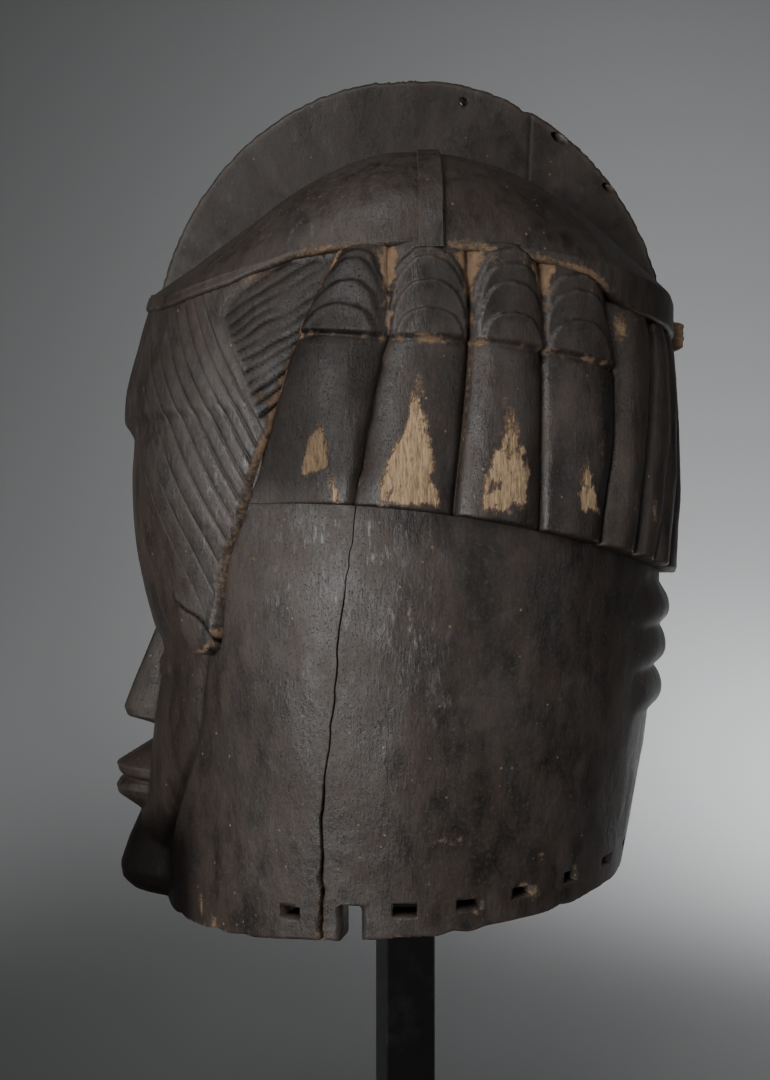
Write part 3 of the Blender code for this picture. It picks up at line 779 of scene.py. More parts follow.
@dataclass(frozen=True)
class DarkWood:
    """Old oiled and smoked wood, with dust in its grooves, bare wood where it was hit, painted shade where a
    piece marks it, and pale scratches that are partly a painted highlight.
    """

    soot: Colour = (0.0100, 0.0078, 0.0068)
    brown: Colour = (0.030, 0.0215, 0.0178)
    red_brown: Colour = (0.047, 0.029, 0.0225)
    grey: Colour = (0.062, 0.054, 0.051)
    warm: Colour = (0.048, 0.032, 0.020)
    dust: Colour = (0.19, 0.125, 0.075)
    bare: Colour = (0.47, 0.335, 0.20)
    bare_shade: Colour = (0.15, 0.095, 0.058)
    # bluish white of the scratches: partly their own pale colour, partly a painted highlight of the light
    # they catch
    scuff: Colour = (0.22, 0.22, 0.235)
    stretch: float = 0.5
    relief: float = 1.0

    def build(self, name: str = "dark_wood") -> Finish:
        """Builds the finish."""
        s = Shader(name)
        upright = s.stretched((1.0, 1.0, self.stretch))
        streak = s.noise(78.0, 6.0, 0.66, upright, 0.3)
        blotch = s.noise(21.0, 4.0, 0.6)
        cloud = s.noise(7.0, 2.0, 0.5)
        fibre = s.noise(850.0, 3.0, 0.6, s.stretched((1.0, 1.0, 0.4 * self.stretch)))
        grit = s.noise(1500.0, 2.0, 0.6)
        colour = s.mix(s.ramp(streak, 0.34, 0.56), self.soot, self.brown)
        colour = s.mix(s.ramp(s.plus(streak, s.times(blotch, 0.5)), 0.76, 0.98), colour, self.red_brown)
        greyed = s.ramp(s.plus(blotch, s.times(s.noise(120.0, 5.0, 0.6, upright), 0.6)), 0.74, 1.0)
        colour = s.mix(s.times(greyed, 0.5), colour, self.grey)
        speck = s.noise(620.0, 4.0, 0.7)
        colour = s.mix(s.times(s.ramp(speck, 0.50, 0.72), 0.6), colour, self.grey)
        pits = s.ramp(s.noise(1150.0, 5.0, 0.85), 0.42, 0.33)
        colour = s.mix(s.times(pits, 0.5), colour, self.soot)
        colour = s.mix(s.times(s.ramp(cloud, 0.45, 0.7), 0.35), colour, self.soot)
        colour = s.mix(s.times(s.channel(Channel.BROWN), s.ramp(streak, 0.25, 0.6)), colour, self.warm)
        colour = s.mix(s.times(s.ramp(fibre, 0.35, 0.75), 0.22), colour, self.soot)
        worn = s.times(s.channel(Channel.WEAR), s.ramp(s.noise(240.0, 4.0, 0.7, upright), 0.35, 0.62))
        colour = s.mix(s.times(worn, 0.55), colour, self.grey)
        # scratch marks in that bluish white where a piece marks them: partly real scratches, partly a painted
        # highlight
        scratches = s.ramp(s.noise(330.0, 5.0, 0.75, s.stretched((1.0, 1.0, 0.25))), 0.56, 0.68)
        scuffed = s.times(s.channel(Channel.SCUFF), scratches)
        colour = s.mix(s.times(scuffed, 0.75), colour, self.scuff)
        flecks = s.ramp(s.plus(s.cells(150.0), s.times(grit, 0.12)), 0.17, 0.10)
        colour = s.mix(s.times(flecks, s.ramp(s.noise(33.0), 0.46, 0.62)), colour, self.dust)
        grain = s.times(s.noise(520.0, 6.0, 0.8), 1.7)
        powder = s.plus(grain, s.times(s.channel(Channel.DUST), 0.75))
        dusty = s.times(s.ramp(powder, 1.04, 1.50), s.ramp(s.channel(Channel.DUST), 0.02, 0.25))
        dust = s.mix(s.ramp(s.noise(260.0, 5.0, 0.7), 0.38, 0.66), self.bare_shade, self.dust)
        colour = s.mix(dusty, colour, dust)
        torn = s.noise(380.0, 6.0, 0.8, s.stretched((1.0, 1.0, 0.5)))
        patch = s.plus(s.channel(Channel.BARE), s.times(s.less(torn, 0.5), 1.6))
        rim = s.times(s.ramp(patch, 0.40, 0.52), s.ramp(s.channel(Channel.BARE), 0.15, 0.4))
        colour = s.mix(s.times(rim, 0.8), colour, self.bare_shade)
        bared = s.ramp(patch, 0.53, 0.60)
        splinter = s.noise(900.0, 5.0, 0.75, s.stretched((1.0, 1.0, 0.16)))
        bare = s.mix(s.ramp(splinter, 0.28, 0.70), self.bare_shade, self.bare)
        stained = s.ramp(s.noise(130.0, 4.0, 0.7, s.stretched((1.0, 1.0, 0.4))), 0.46, 0.72)
        bare = s.mix(s.times(stained, 0.6), bare, self.bare_shade)
        colour = s.mix(bared, colour, bare)
        # painted shade: near black where the piece marks it
        deep = s.ramp(s.channel(Channel.DEEP), 0.0, 1.0)
        colour = s.mix(deep, colour, (0.004, 0.003, 0.003))
        rough = s.blend(s.ramp(streak, 0.3, 0.7), 0.40, 0.56)
        rough = s.blend(dusty, rough, 0.92)
        rough = s.blend(bared, rough, 0.85)
        relief = s.plus(s.times(fibre, 0.45), s.times(grit, 0.3))
        relief = s.less(relief, s.times(pits, 0.3))
        relief = s.plus(relief, s.times(dusty, 0.35))
        relief = s.less(relief, s.times(bared, s.plus(0.6, s.times(splinter, 1.4))))
        low = s.bump(s.noise(190.0, 4.0, 0.6, s.stretched((1.0, 1.0, 0.7))), 0.00042 * self.relief)
        normal = s.bump(relief, 0.0003 * self.relief, low)
        # the painted shade also lowers the specular level
        s.set(Base_Color=colour, Roughness=rough, Normal=normal, Specular_IOR_Level=s.blend(deep, 0.45, 0.06))
        return s.material


@dataclass(frozen=True)
class PaleWood:
    """Split bare wood of a peg, darkened by handling."""

    light: Colour = (0.33, 0.215, 0.12)
    dark: Colour = (0.075, 0.045, 0.028)

    def build(self, name: str = "peg_wood") -> Finish:
        """Builds the finish."""
        s = Shader(name)
        grain = s.noise(900.0, 4.0, 0.65, s.stretched((0.07, 1.0, 1.0)))
        stain = s.noise(110.0, 4.0, 0.6)
        share = s.times(s.channel(Channel.BARE), s.ramp(s.plus(grain, stain), 0.7, 1.15))
        colour = s.mix(share, self.dark, self.light)
        s.set(Base_Color=colour, Roughness=0.72, Normal=s.bump(grain, 0.0004))
        return s.material


@dataclass(frozen=True)
class SatinBlack:
    """Powder coat on steel."""

    colour: Colour = (0.0032, 0.0033, 0.0035)
    rubbed: Colour = (0.0075, 0.0075, 0.0075)

    def build(self, name: str = "black_paint") -> Finish:
        """Builds the finish."""
        s = Shader(name)
        peel = s.noise(1900.0, 2.0, 0.5)
        dusted = s.ramp(s.noise(38.0, 4.0, 0.6), 0.5, 0.8)
        s.set(
            Base_Color=s.mix(dusted, self.colour, self.rubbed),
            Roughness=s.blend(dusted, 0.33, 0.46),
            Normal=s.bump(peel, 0.00006),
        )
        return s.material


@dataclass(frozen=True)
class DarkFelt:
    """Thin wool felt."""

    light: Colour = (0.042, 0.041, 0.043)
    dark: Colour = (0.016, 0.016, 0.018)

    def build(self, name: str = "dark_felt") -> Finish:
        """Builds the finish."""
        s = Shader(name)
        wool = s.noise(1300.0, 5.0, 0.75, None, 1.2)
        s.set(
            Base_Color=s.mix(s.ramp(wool, 0.35, 0.7), self.dark, self.light),
            Roughness=0.95,
            Normal=s.bump(wool, 0.0006),
            Sheen_Weight=0.25,
        )
        return s.material


@dataclass(frozen=True)
class StudioPaper:
    """Plain matt paper of the floor and the backdrop."""

    colour: Colour = (0.080, 0.0815, 0.083)

    def build(self, name: str = "studio_paper") -> Finish:
        """Builds the finish."""
        s = Shader(name)
        shade = s.mix(s.noise(0.8, 2.0), self.colour, tuple(0.93 * part for part in self.colour))
        s.set(Base_Color=shade, Roughness=0.95, Specular_IOR_Level=0.2)
        return s.material


@dataclass
class Crack:
    """Long crack down the near side, from the hair to the rim."""

    path: Table = (
        (0, 71.9), (47, 71.9), (61, 71.8), (78, 72.6), (108, 74.4), (133, 75.3), (158, 76.9),
        (184.6, 78.9), (194.8, 79.7), (215, 81.6), (236, 83.5), (262, 86),
    )
    gape: Table = (
        (0, 1.1, 11), (16, 0.80, 9), (45, 0.48, 5), (80, 0.31, 3), (125, 0.20, 1.8),
        (190, 0.15, 1.2), (230, 0.13, 0.9), (262, 0.08, 0.5),
    )
    wander: LatticeNoise = field(default_factory=lambda: LatticeNoise(31, 1, 5.0))

    def angle(self, height: Array) -> Array:
        """Direction of the crack at a height."""
        wander = self.wander(np.zeros(np.shape(height)), height)
        return straight_table(self.path, height)[0] + 0.22 * wander

    def depth(self, angle: Array, height: Array, plan: HeadPlan) -> Array:
        """How deep the crack is at each place."""
        half_width, deep = straight_table(self.gape, height)
        off = np.abs(plan.arc(angle - self.angle(height))) / half_width
        return deep * np.maximum(0.0, 1 - off) ** 0.7

    def shade(self, angle: Array, height: Array, plan: HeadPlan) -> Array:
        """How strongly painted shade darkens the inside of the crack at each place."""
        half_width = straight_table(self.gape, height)[0]
        off = np.abs(plan.arc(angle - self.angle(height))) / half_width
        return np.clip(1.05 - off, 0, 1)


@dataclass
class FaceForm:
    """Form that stands forward of the face, rounded in plan."""

    stations: Table
    root: float = 98.0

    def reach(self, turn: Array, height: Array) -> Array:
        """How far from the head's axis the form reaches in a direction.

        Args:
            turn: True direction in plan, in radians from straight ahead.
            height: Height of the place.

        Returns:
            The reach in units, or 0 where the form isn't.
        """
        forward, half_width = straight_table(self.stations, height)
        depth = forward - self.root
        ahead, aside = np.cos(turn), np.sin(turn)
        a = (ahead / depth) ** 2 + (aside / half_width) ** 2
        b = -2 * self.root * ahead / depth**2
        c = (self.root / depth) ** 2 - 1
        under = b * b - 4 * a * c
        reach = (-b + np.sqrt(np.maximum(under, 0))) / (2 * a)
        inside = (under > 0) & (ahead > 0)
        inside &= (height >= self.stations[0][0]) & (height <= self.stations[-1][0])
        return np.where(inside, reach, 0.0)


@dataclass
class CarvedBody:
    """Block of the mask below the hair: face, cheeks, neck and nape, hollowed from below."""

    plan: HeadPlan
    crack: Crack
    nose: FaceForm = field(default_factory=lambda: FaceForm((
        (83, 126, 17), (87, 141, 15.5), (91.5, 142.8, 13), (113, 134.5, 9),
        (143, 123, 7),
    )))
    mouth: FaceForm = field(default_factory=lambda: FaceForm((
        (38, 131, 20), (41, 134.4, 24), (49, 146.2, 28), (52.5, 147, 29),
        (56, 145, 29), (57.5, 142, 28.5), (59.5, 145.2, 30), (64, 146.7, 29),
        (76, 127, 24),
    )))
    chin: FaceForm = field(default_factory=lambda: FaceForm((
        (2.4, 139, 26), (7, 143.6, 31), (13.5, 144.6, 33), (26, 140.5, 31),
        (42, 133.5, 23),
    )))
    form_blend: float = 1.6
    hidden_inset: float = 3.0
    hidden_drop: float = 5.0
    hidden_from: float = 240.0
    rim_round: float = 1.6
    crack_column: float = 75.5
    crack_steps: tuple[float, ...] = (
        -0.8, -0.5, -0.3, -0.17, -0.09, -0.04, 0.0, 0.04, 0.09, 0.17, 0.3, 0.5, 0.8,
    )
    column_spans: Table = (
        (-180, -135, 1.35), (-135, -60, 1.2), (-60, -30, 0.9), (-30, -10, 0.44), (-10, 0, 0.27),
        (0, 10, 0.27), (10, 30, 0.44), (30, 60, 0.9), (60, 74, 1.15),
    )
    last_spans: Table = ((77, 135, 1.15), (135, 180, 1.35))
    row_spans: Table = (
        (1, 5, 0.8), (5, 38, 1.9), (38, 45, 1), (45, 66, 0.75), (66, 78, 1.1), (78, 94, 0.8),
        (94, 150, 1.5), (150, 240, 3),
    )
    rim_sink: float = 0.5
    hollow_level: float = 60.0
    hollow_steps: int = 12
    eye_angle: float = 16.5
    eye_height: float = 116.0
    eye_half_width: float = 12.5
    eye_half_height: float = 6.0
    hole_width: float = 8.5
    hole_height: float = 4.8
    hole_inset: float = 10.0
    hole_corner: float = 0.09
    hole_angles: tuple[float, ...] = (65.0, 78.0, 89.0, 103.0, 116.0, 130.0, 145.0, 160.0, 174.0)
    broken_hole: float = 78.0
    broken_reach: float = 8.0
    broken_width: float = 1.15
    hole_length: float = 52.0

    def columns(self) -> Array:
        """Even directions of the columns, with a close bundle where the crack runs."""
        beside = self.crack_column + np.array(self.crack_steps)
        return np.concatenate([spans(*self.column_spans), beside, spans(*self.last_spans)])

    def column_angles(self, columns: Array, height: Array) -> Array:
        """Directions of the columns at a height, bent to the edge of the face and to the crack."""
        half_angle = smooth_table(self.plan.front, height)[1]
        half = np.clip(half_angle, 14.0, 42.0)
        size = np.abs(columns)
        inner = size * half / 30.0
        outer = half + (size - 30.0) * (60.0 - half) / 30.0
        bent = np.where(size <= 30, inner, np.where(size <= 60, outer, size)) * np.sign(columns)
        nearness = np.maximum(0.0, 1 - ((columns - self.crack_column) / 18.0) ** 2) ** 2
        return bent + nearness * (self.crack.angle(height) - self.crack_column)

    def tilted(self, angle: Array, row: Array) -> Array:
        """Heights of a row, which follows the rim near it and is level further up."""
        return row + self.plan.rim_height(angle) * (1 - smooth_step(row / 62.0))

    def eyes(self, angle: Array, height: Array) -> Array:
        """Relief of the lowered eyelids, each a lens with a narrow slit."""
        across = self.plan.arc(np.abs(angle) - self.eye_angle) / self.eye_half_width
        line = self.eye_height - 1.6 * across**2
        up = (height - line) / self.eye_half_height
        inside = np.maximum(0.0, 1 - across**2 - up**2)
        lid = 2.6 * np.sqrt(inside)
        slit = bell((height - line + 1.0) / 0.7) * np.maximum(0, 1 - (across / 0.8) ** 2)
        crease = bell((height - line - 8.5 + 3.0 * across**2) / 0.9)
        crease = crease * np.maximum(0, 1 - across**2)
        return lid - 1.5 * slit - 0.8 * crease

    def shape(self, angle: Array, height: Array) -> Array:
        """How far the carved surface stands out of the plain block."""
        plan = self.plan
        relief = plan.front_relief(angle, height) + plan.nape_relief(angle, height)
        x, y = plan.plan_point(angle, smooth_table(plan.block, height), np.zeros(np.shape(angle)))
        base = np.hypot(x, y)
        turn = np.arctan2(y, -x)
        reach = base + relief
        for form in (self.nose, self.mouth, self.chin):
            other = form.reach(turn, height)
            near = np.maximum(self.form_blend - np.abs(reach - other), 0) / self.form_blend
            reach = np.maximum(reach, other) + near**2 * self.form_blend / 4
        relief = reach - base
        relief = relief + self.eyes(angle, height)
        return relief + self.weathering(angle, height)

    def weathering(self, angle: Array, height: Array) -> Array:
        """Tool marks, the groove beside the cheek and uneven carving."""
        facets = ToolMarks(11, 44, 26.0)(angle + 3 * LatticeNoise(12, 30, 30.0)(angle, height), height)
        small = ToolMarks(13, 92, 15.0)(angle, height)
        swell = LatticeNoise(14, 18, 48.0)(angle, height)
        half_angle = smooth_table(self.plan.front, height)[1]
        off = self.plan.arc(np.abs(angle) - half_angle)
        cheek = bell(off / 2.6) * rising(height, 22, 20) * falling(height, 150, 20)
        calm = rising(np.abs(angle), 14, 12)
        cuts = 0.55 * (facets - 0.35) + 0.2 * (small - 0.35)
        return cuts * (0.35 + 0.65 * calm) + 0.5 * swell - 1.1 * cheek

    def rim_drop(self, angle: Array) -> Array:
        """Uneven edge of the rim."""
        level = 0 * angle
        chips = np.maximum(0, LatticeNoise(22, 240, 9.0)(angle, level) - 0.45)
        return 0.7 * LatticeNoise(21, 90, 9.0)(angle, level) + 0.8 * chips + self.rim_sink

    def carved(self, angle: Array, height: Array) -> Array:
        """How far the surface stands out of the plain block, less the crack."""
        return self.shape(angle, height) - self.crack.depth(angle, height, self.plan)

    def outer_rings(self, columns: Array, rows: Array) -> list[Array]:
        """Rings of points from the rim up the carved outside and over what the crown hides."""
        plan = self.plan
        rings = []
        for row in rows:
            angle = self.column_angles(columns, row)
            height = self.tilted(angle, row) + np.clip(1 - row / 12.0, 0, 1) * self.rim_drop(angle)
            rings.append(plan.place(angle, height, self.carved(angle, height)))
        for row in (self.hidden_from, 262.0, 276.0):
            angle = self.column_angles(columns, row)
            relief = plan.front_relief(angle, row + 0 * angle) - self.hidden_inset
            rings.append(plan.place(angle, row, relief))
        for share in (0.03, 0.12, 0.3, 0.5, 0.7, 0.86, 0.96):
            rings.append(plan.dome(angle, share, self.hidden_drop, 0 * columns))
        return rings

    def rim_rings(self, columns: Array, row: float) -> list[Array]:
        """Rings of points round the rim's edge, from its outside to its inside."""
        plan, edge = self.plan, self.rim_round
        angle = self.column_angles(columns, row)
        rim = plan.rim_height(angle) + self.rim_drop(angle)
        reach = self.carved(angle, rim + row)
        rings = []
        for along, inset in map(quarter, (0.35, 0.75, 1.0)):
            rings.append(plan.place(angle, rim + row * along, reach - edge * inset))
        for share in (0.25, 0.5, 0.75):
            level = rim + 0.35 * LatticeNoise(23, 60, 5.0)(angle, 40 * share + 0 * angle)
            rings.append(plan.place(angle, level, reach - edge - (reach + plan.wall - 2 * edge) * share))
        for along, inset in map(quarter, (1.0, 0.5, 0.0)):
            rings.append(plan.place(angle, rim + edge * along, edge * inset - plan.wall))
        return rings

    def hollow_rings(self, columns: Array) -> list[Array]:
        """Rings of points up the gouged hollow and over its top."""
        plan = self.plan
        gouges = ToolMarks(41, 30, 34.0)
        spring, level = plan.hollow_springing, self.hollow_level
        rings = []
        for row in np.append(spans((6, level, 9), (level, spring, 12)), spring):
            angle = self.column_angles(columns, min(row, level))
            height = self.tilted(angle, row)
            rings.append(plan.place(angle, height, -plan.wall - 0.9 * (0.4 - gouges(angle, height))))
        angle = self.column_angles(columns, level)
        sizes = smooth_table(plan.block, np.full(columns.shape, spring)) - plan.wall
        for step in range(1, self.hollow_steps):
            share = eased_share(step, self.hollow_steps)
            x, y = plan.plan_point(angle, plan.narrowed(sizes, share, plan.hollow_profiles), 0 * columns)
            top = spring + (plan.crown_top - plan.crown_wall - spring) * share
            rings.append(plan.metres(x, y, top + 0 * x))
        return rings

    def build(self) -> Thing:
        """Builds the body with its hollow, and cuts its holes."""
        plan = self.plan
        columns, rows = self.columns(), spans(*self.row_spans)
        rings = self.outer_rings(columns, rows)[::-1]
        rings += self.rim_rings(columns, rows[0]) + self.hollow_rings(columns)
        ends = plan.crown_top - np.array([self.hidden_drop, plan.crown_wall])
        ends = plan.metres(np.zeros(2), np.zeros(2), ends)
        count, end = len(columns), len(rings) * len(columns)
        faces = grid_faces(len(rings), count, 0, True) + fan(0, count, end) + fan(end - count, count, end + 1)
        body = mesh_piece("carved_body", np.concatenate([np.concatenate(rings), ends]), faces)
        cut_out(body, self.hole_cutter())
        return body

    def hole_cutter(self) -> Thing:
        """Bars that cut the holes, one on each of a ring of points, by geometry nodes."""
        plan = self.plan
        draw = np.random.default_rng(52)
        spots, turns, sizes = [], [], []
        for sign, angle in [(sign, angle) for sign in (1, -1) for angle in self.hole_angles]:
            rim = float(plan.rim_height(angle))
            plain = smooth_table(plan.block, rim + self.hole_inset)
            x, y = plan.plan_point(np.array(sign * angle), plain, 0.0)
            low = rim + self.hole_inset + draw.uniform(-0.8, 0.8)
            high = low + self.hole_height * draw.uniform(0.9, 1.2)
            width = self.hole_width * draw.uniform(0.9, 1.25)
            if sign > 0 and angle == self.broken_hole:
                low, width = rim - self.broken_reach, self.hole_width * self.broken_width
            turns.append((0.0, 0.0, math.atan2(y, x) + draw.uniform(-0.06, 0.06)))
            spots.append(plan.metres(x, y, (low + high) / 2))
            sizes.append((self.hole_length * plan.unit, width * plan.unit, (high - low) * plan.unit))
        mesh = bpy.data.meshes.new("hole_spots")
        mesh.from_pydata([tuple(spot) for spot in spots], [], [])
        for name, values in (("turn", turns), ("size", sizes)):
            attribute = mesh.attributes.new(name, "FLOAT_VECTOR", "POINT")
            attribute.data.foreach_set("vector", np.array(values, np.float32).ravel())
        cutter = added("hole_cutter", mesh)
        grow(cutter, self.bar_tree(), Corner=self.hole_corner)
        return baked(cutter)

    def bar_tree(self) -> Tree:
        """Node tree that puts a bar with eased edges on each point."""
        graph = Graph("bars_on_points", "Corner")
        size = graph.node("InputNamedAttribute", {"Name": "size"}, data_type="FLOAT_VECTOR")["Attribute"]
        turn = graph.node("InputNamedAttribute", {"Name": "turn"}, data_type="FLOAT_VECTOR")["Attribute"]
        section = graph.node("CurvePrimitiveQuadrilateral", {"Width": 1.0, "Height": 1.0})["Curve"]
        eased = graph.node(
            "FilletCurve", {"Curve": section, "Count": 2, "Radius": graph.inputs["Corner"]}, mode="POLY"
        )["Curve"]
        line = graph.node("CurvePrimitiveLine", {"Start": (-0.5, 0.0, 0.0), "End": (0.5, 0.0, 0.0)})["Curve"]
        bar = graph.node("CurveToMesh", {"Curve": line, "Profile Curve": eased, "Fill Caps": True})["Mesh"]
        weld = graph.node("MergeByDistance", {"Geometry": bar})["Geometry"]
        points = graph.inputs["Geometry"]
        inputs = {"Points": points, "Instance": weld, "Rotation": turn, "Scale": size}
        return graph.ended(graph.node("InstanceOnPoints", inputs)["Instances"])

    def dress(self, body: Thing, finish: Finish) -> None:
        """Marks where the body is dusty and worn, where painted shade darkens its crack, the groove beside
        the cheek and the front of the face, and where its scratches carry a painted highlight, and gives it
        its finish.
        """
        plan = self.plan
        points = mesh_points(body)
        angle, height = plan.read(points)
        reach = np.hypot(points[:, 0], points[:, 1]) / plan.unit
        x, y = plan.plan_point(angle, smooth_table(plan.block, height), 0 * angle)
        stand_out = reach - np.hypot(x, y)
        inside = falling(stand_out, -5.0, 5.0)
        half_angle = smooth_table(plan.front, height)[1]
        valley = bell(plan.arc(np.abs(angle) - half_angle) / 3.0)
        valley *= rising(height, 15, 25) * falling(height, 150, 20)
        rim = height - plan.rim_height(angle)
        crack_side = np.abs(plan.arc(angle - self.crack.angle(height)))
        low_crack = bell(crack_side / 2.6) * falling(height, 45, 30)
        dust = 0.55 * low_crack + 0.375 * bell(rim / 2.0)
        dust += spots_at(BODY_DUST, angle, height)
        bare = spots_at(BODY_BARE, angle, height)
        wear = 0.5 * bell(rim / 2.5) + 0.7 * spots_at(FACE_WEAR, np.abs(angle), height)
        # painted shade inside the crack and in the groove beside the cheek
        deep = self.crack.shade(angle, height, plan) + 0.3 * valley
        # painted shade over the chin and mouth, and over the front of the face below height 150
        deep += 0.58 * falling(np.abs(angle), 46, 20) * falling(height, 56, 26)
        deep += 0.30 * falling(np.abs(angle), 38, 8) * falling(height, 150, 20)
        scuff = spots_at(BODY_SCUFF, angle, height)
        brown = 0.4 * falling(np.abs(angle), 52, 30) + 0.3 * bell((np.abs(angle) - 48) / 6)
        outside = 1 - inside
        mark(
            body, dust=dust * outside + 0.12 * inside, bare=bare * outside, wear=wear * outside,
            deep=deep * outside, scuff=scuff * outside, brown=brown * outside + 0.8 * inside,
        )
        put(body, Slot.DARK_WOOD, finish, MASK_NODE)


BODY_DUST = (
    Spot(38.5, 13, 0.9, 5, 0.9), Spot(43.5, 6, 1.2, 4, 0.7), Spot(78, 20, 2, 3, 0.8),
    Spot(116, 30, 1.5, 2.6, 0.9), Spot(119, 26.5, 1.5, 3, 0.8), Spot(131, 33.5, 1.2, 2, 0.7),
    Spot(104.5, 22, 1.2, 2.2, 0.6), Spot(97, 52, 2.4, 2.4, 0.4), Spot(100.5, 52, 2, 3, 0.35),
    Spot(56, 167.5, 2.6, 1.6, 0.5), Spot(119.5, 43, 0.9, 1.5, 0.7), Spot(88, 12, 1.2, 1.2, 0.5),
)
BODY_BARE = (
    Spot(0, 91, 2.4, 2, 0.62), Spot(0, 52, 5, 1.9, 0.60), Spot(38.5, 10, 0.7, 3.5, 0.66),
    Spot(4.5, 34, 1, 5, 0.52),
)
FACE_WEAR = (
    Spot(0, 92, 3.5, 5), Spot(0, 64, 8, 2.5), Spot(0, 51, 8, 2.5),
    Spot(0, 12, 8, 6), Spot(0, 190, 30, 30, 0.6),
)
# scratched places, most where the sheen falls on the near side: partly real scratches, partly a painted
# highlight
BODY_SCUFF = (
    Spot(78, 165, 8, 20, 0.9), Spot(68, 172, 9, 14, 0.6), Spot(89, 140, 5, 20, 0.8),
    Spot(84, 178, 6, 8, 0.6), Spot(60, 150, 8, 20, 0.35),
    Spot(94, 110, 6, 16, 0.35), Spot(-80, 150, 14, 24, 0.6),
    Spot(-110, 120, 10, 20, 0.4),
)


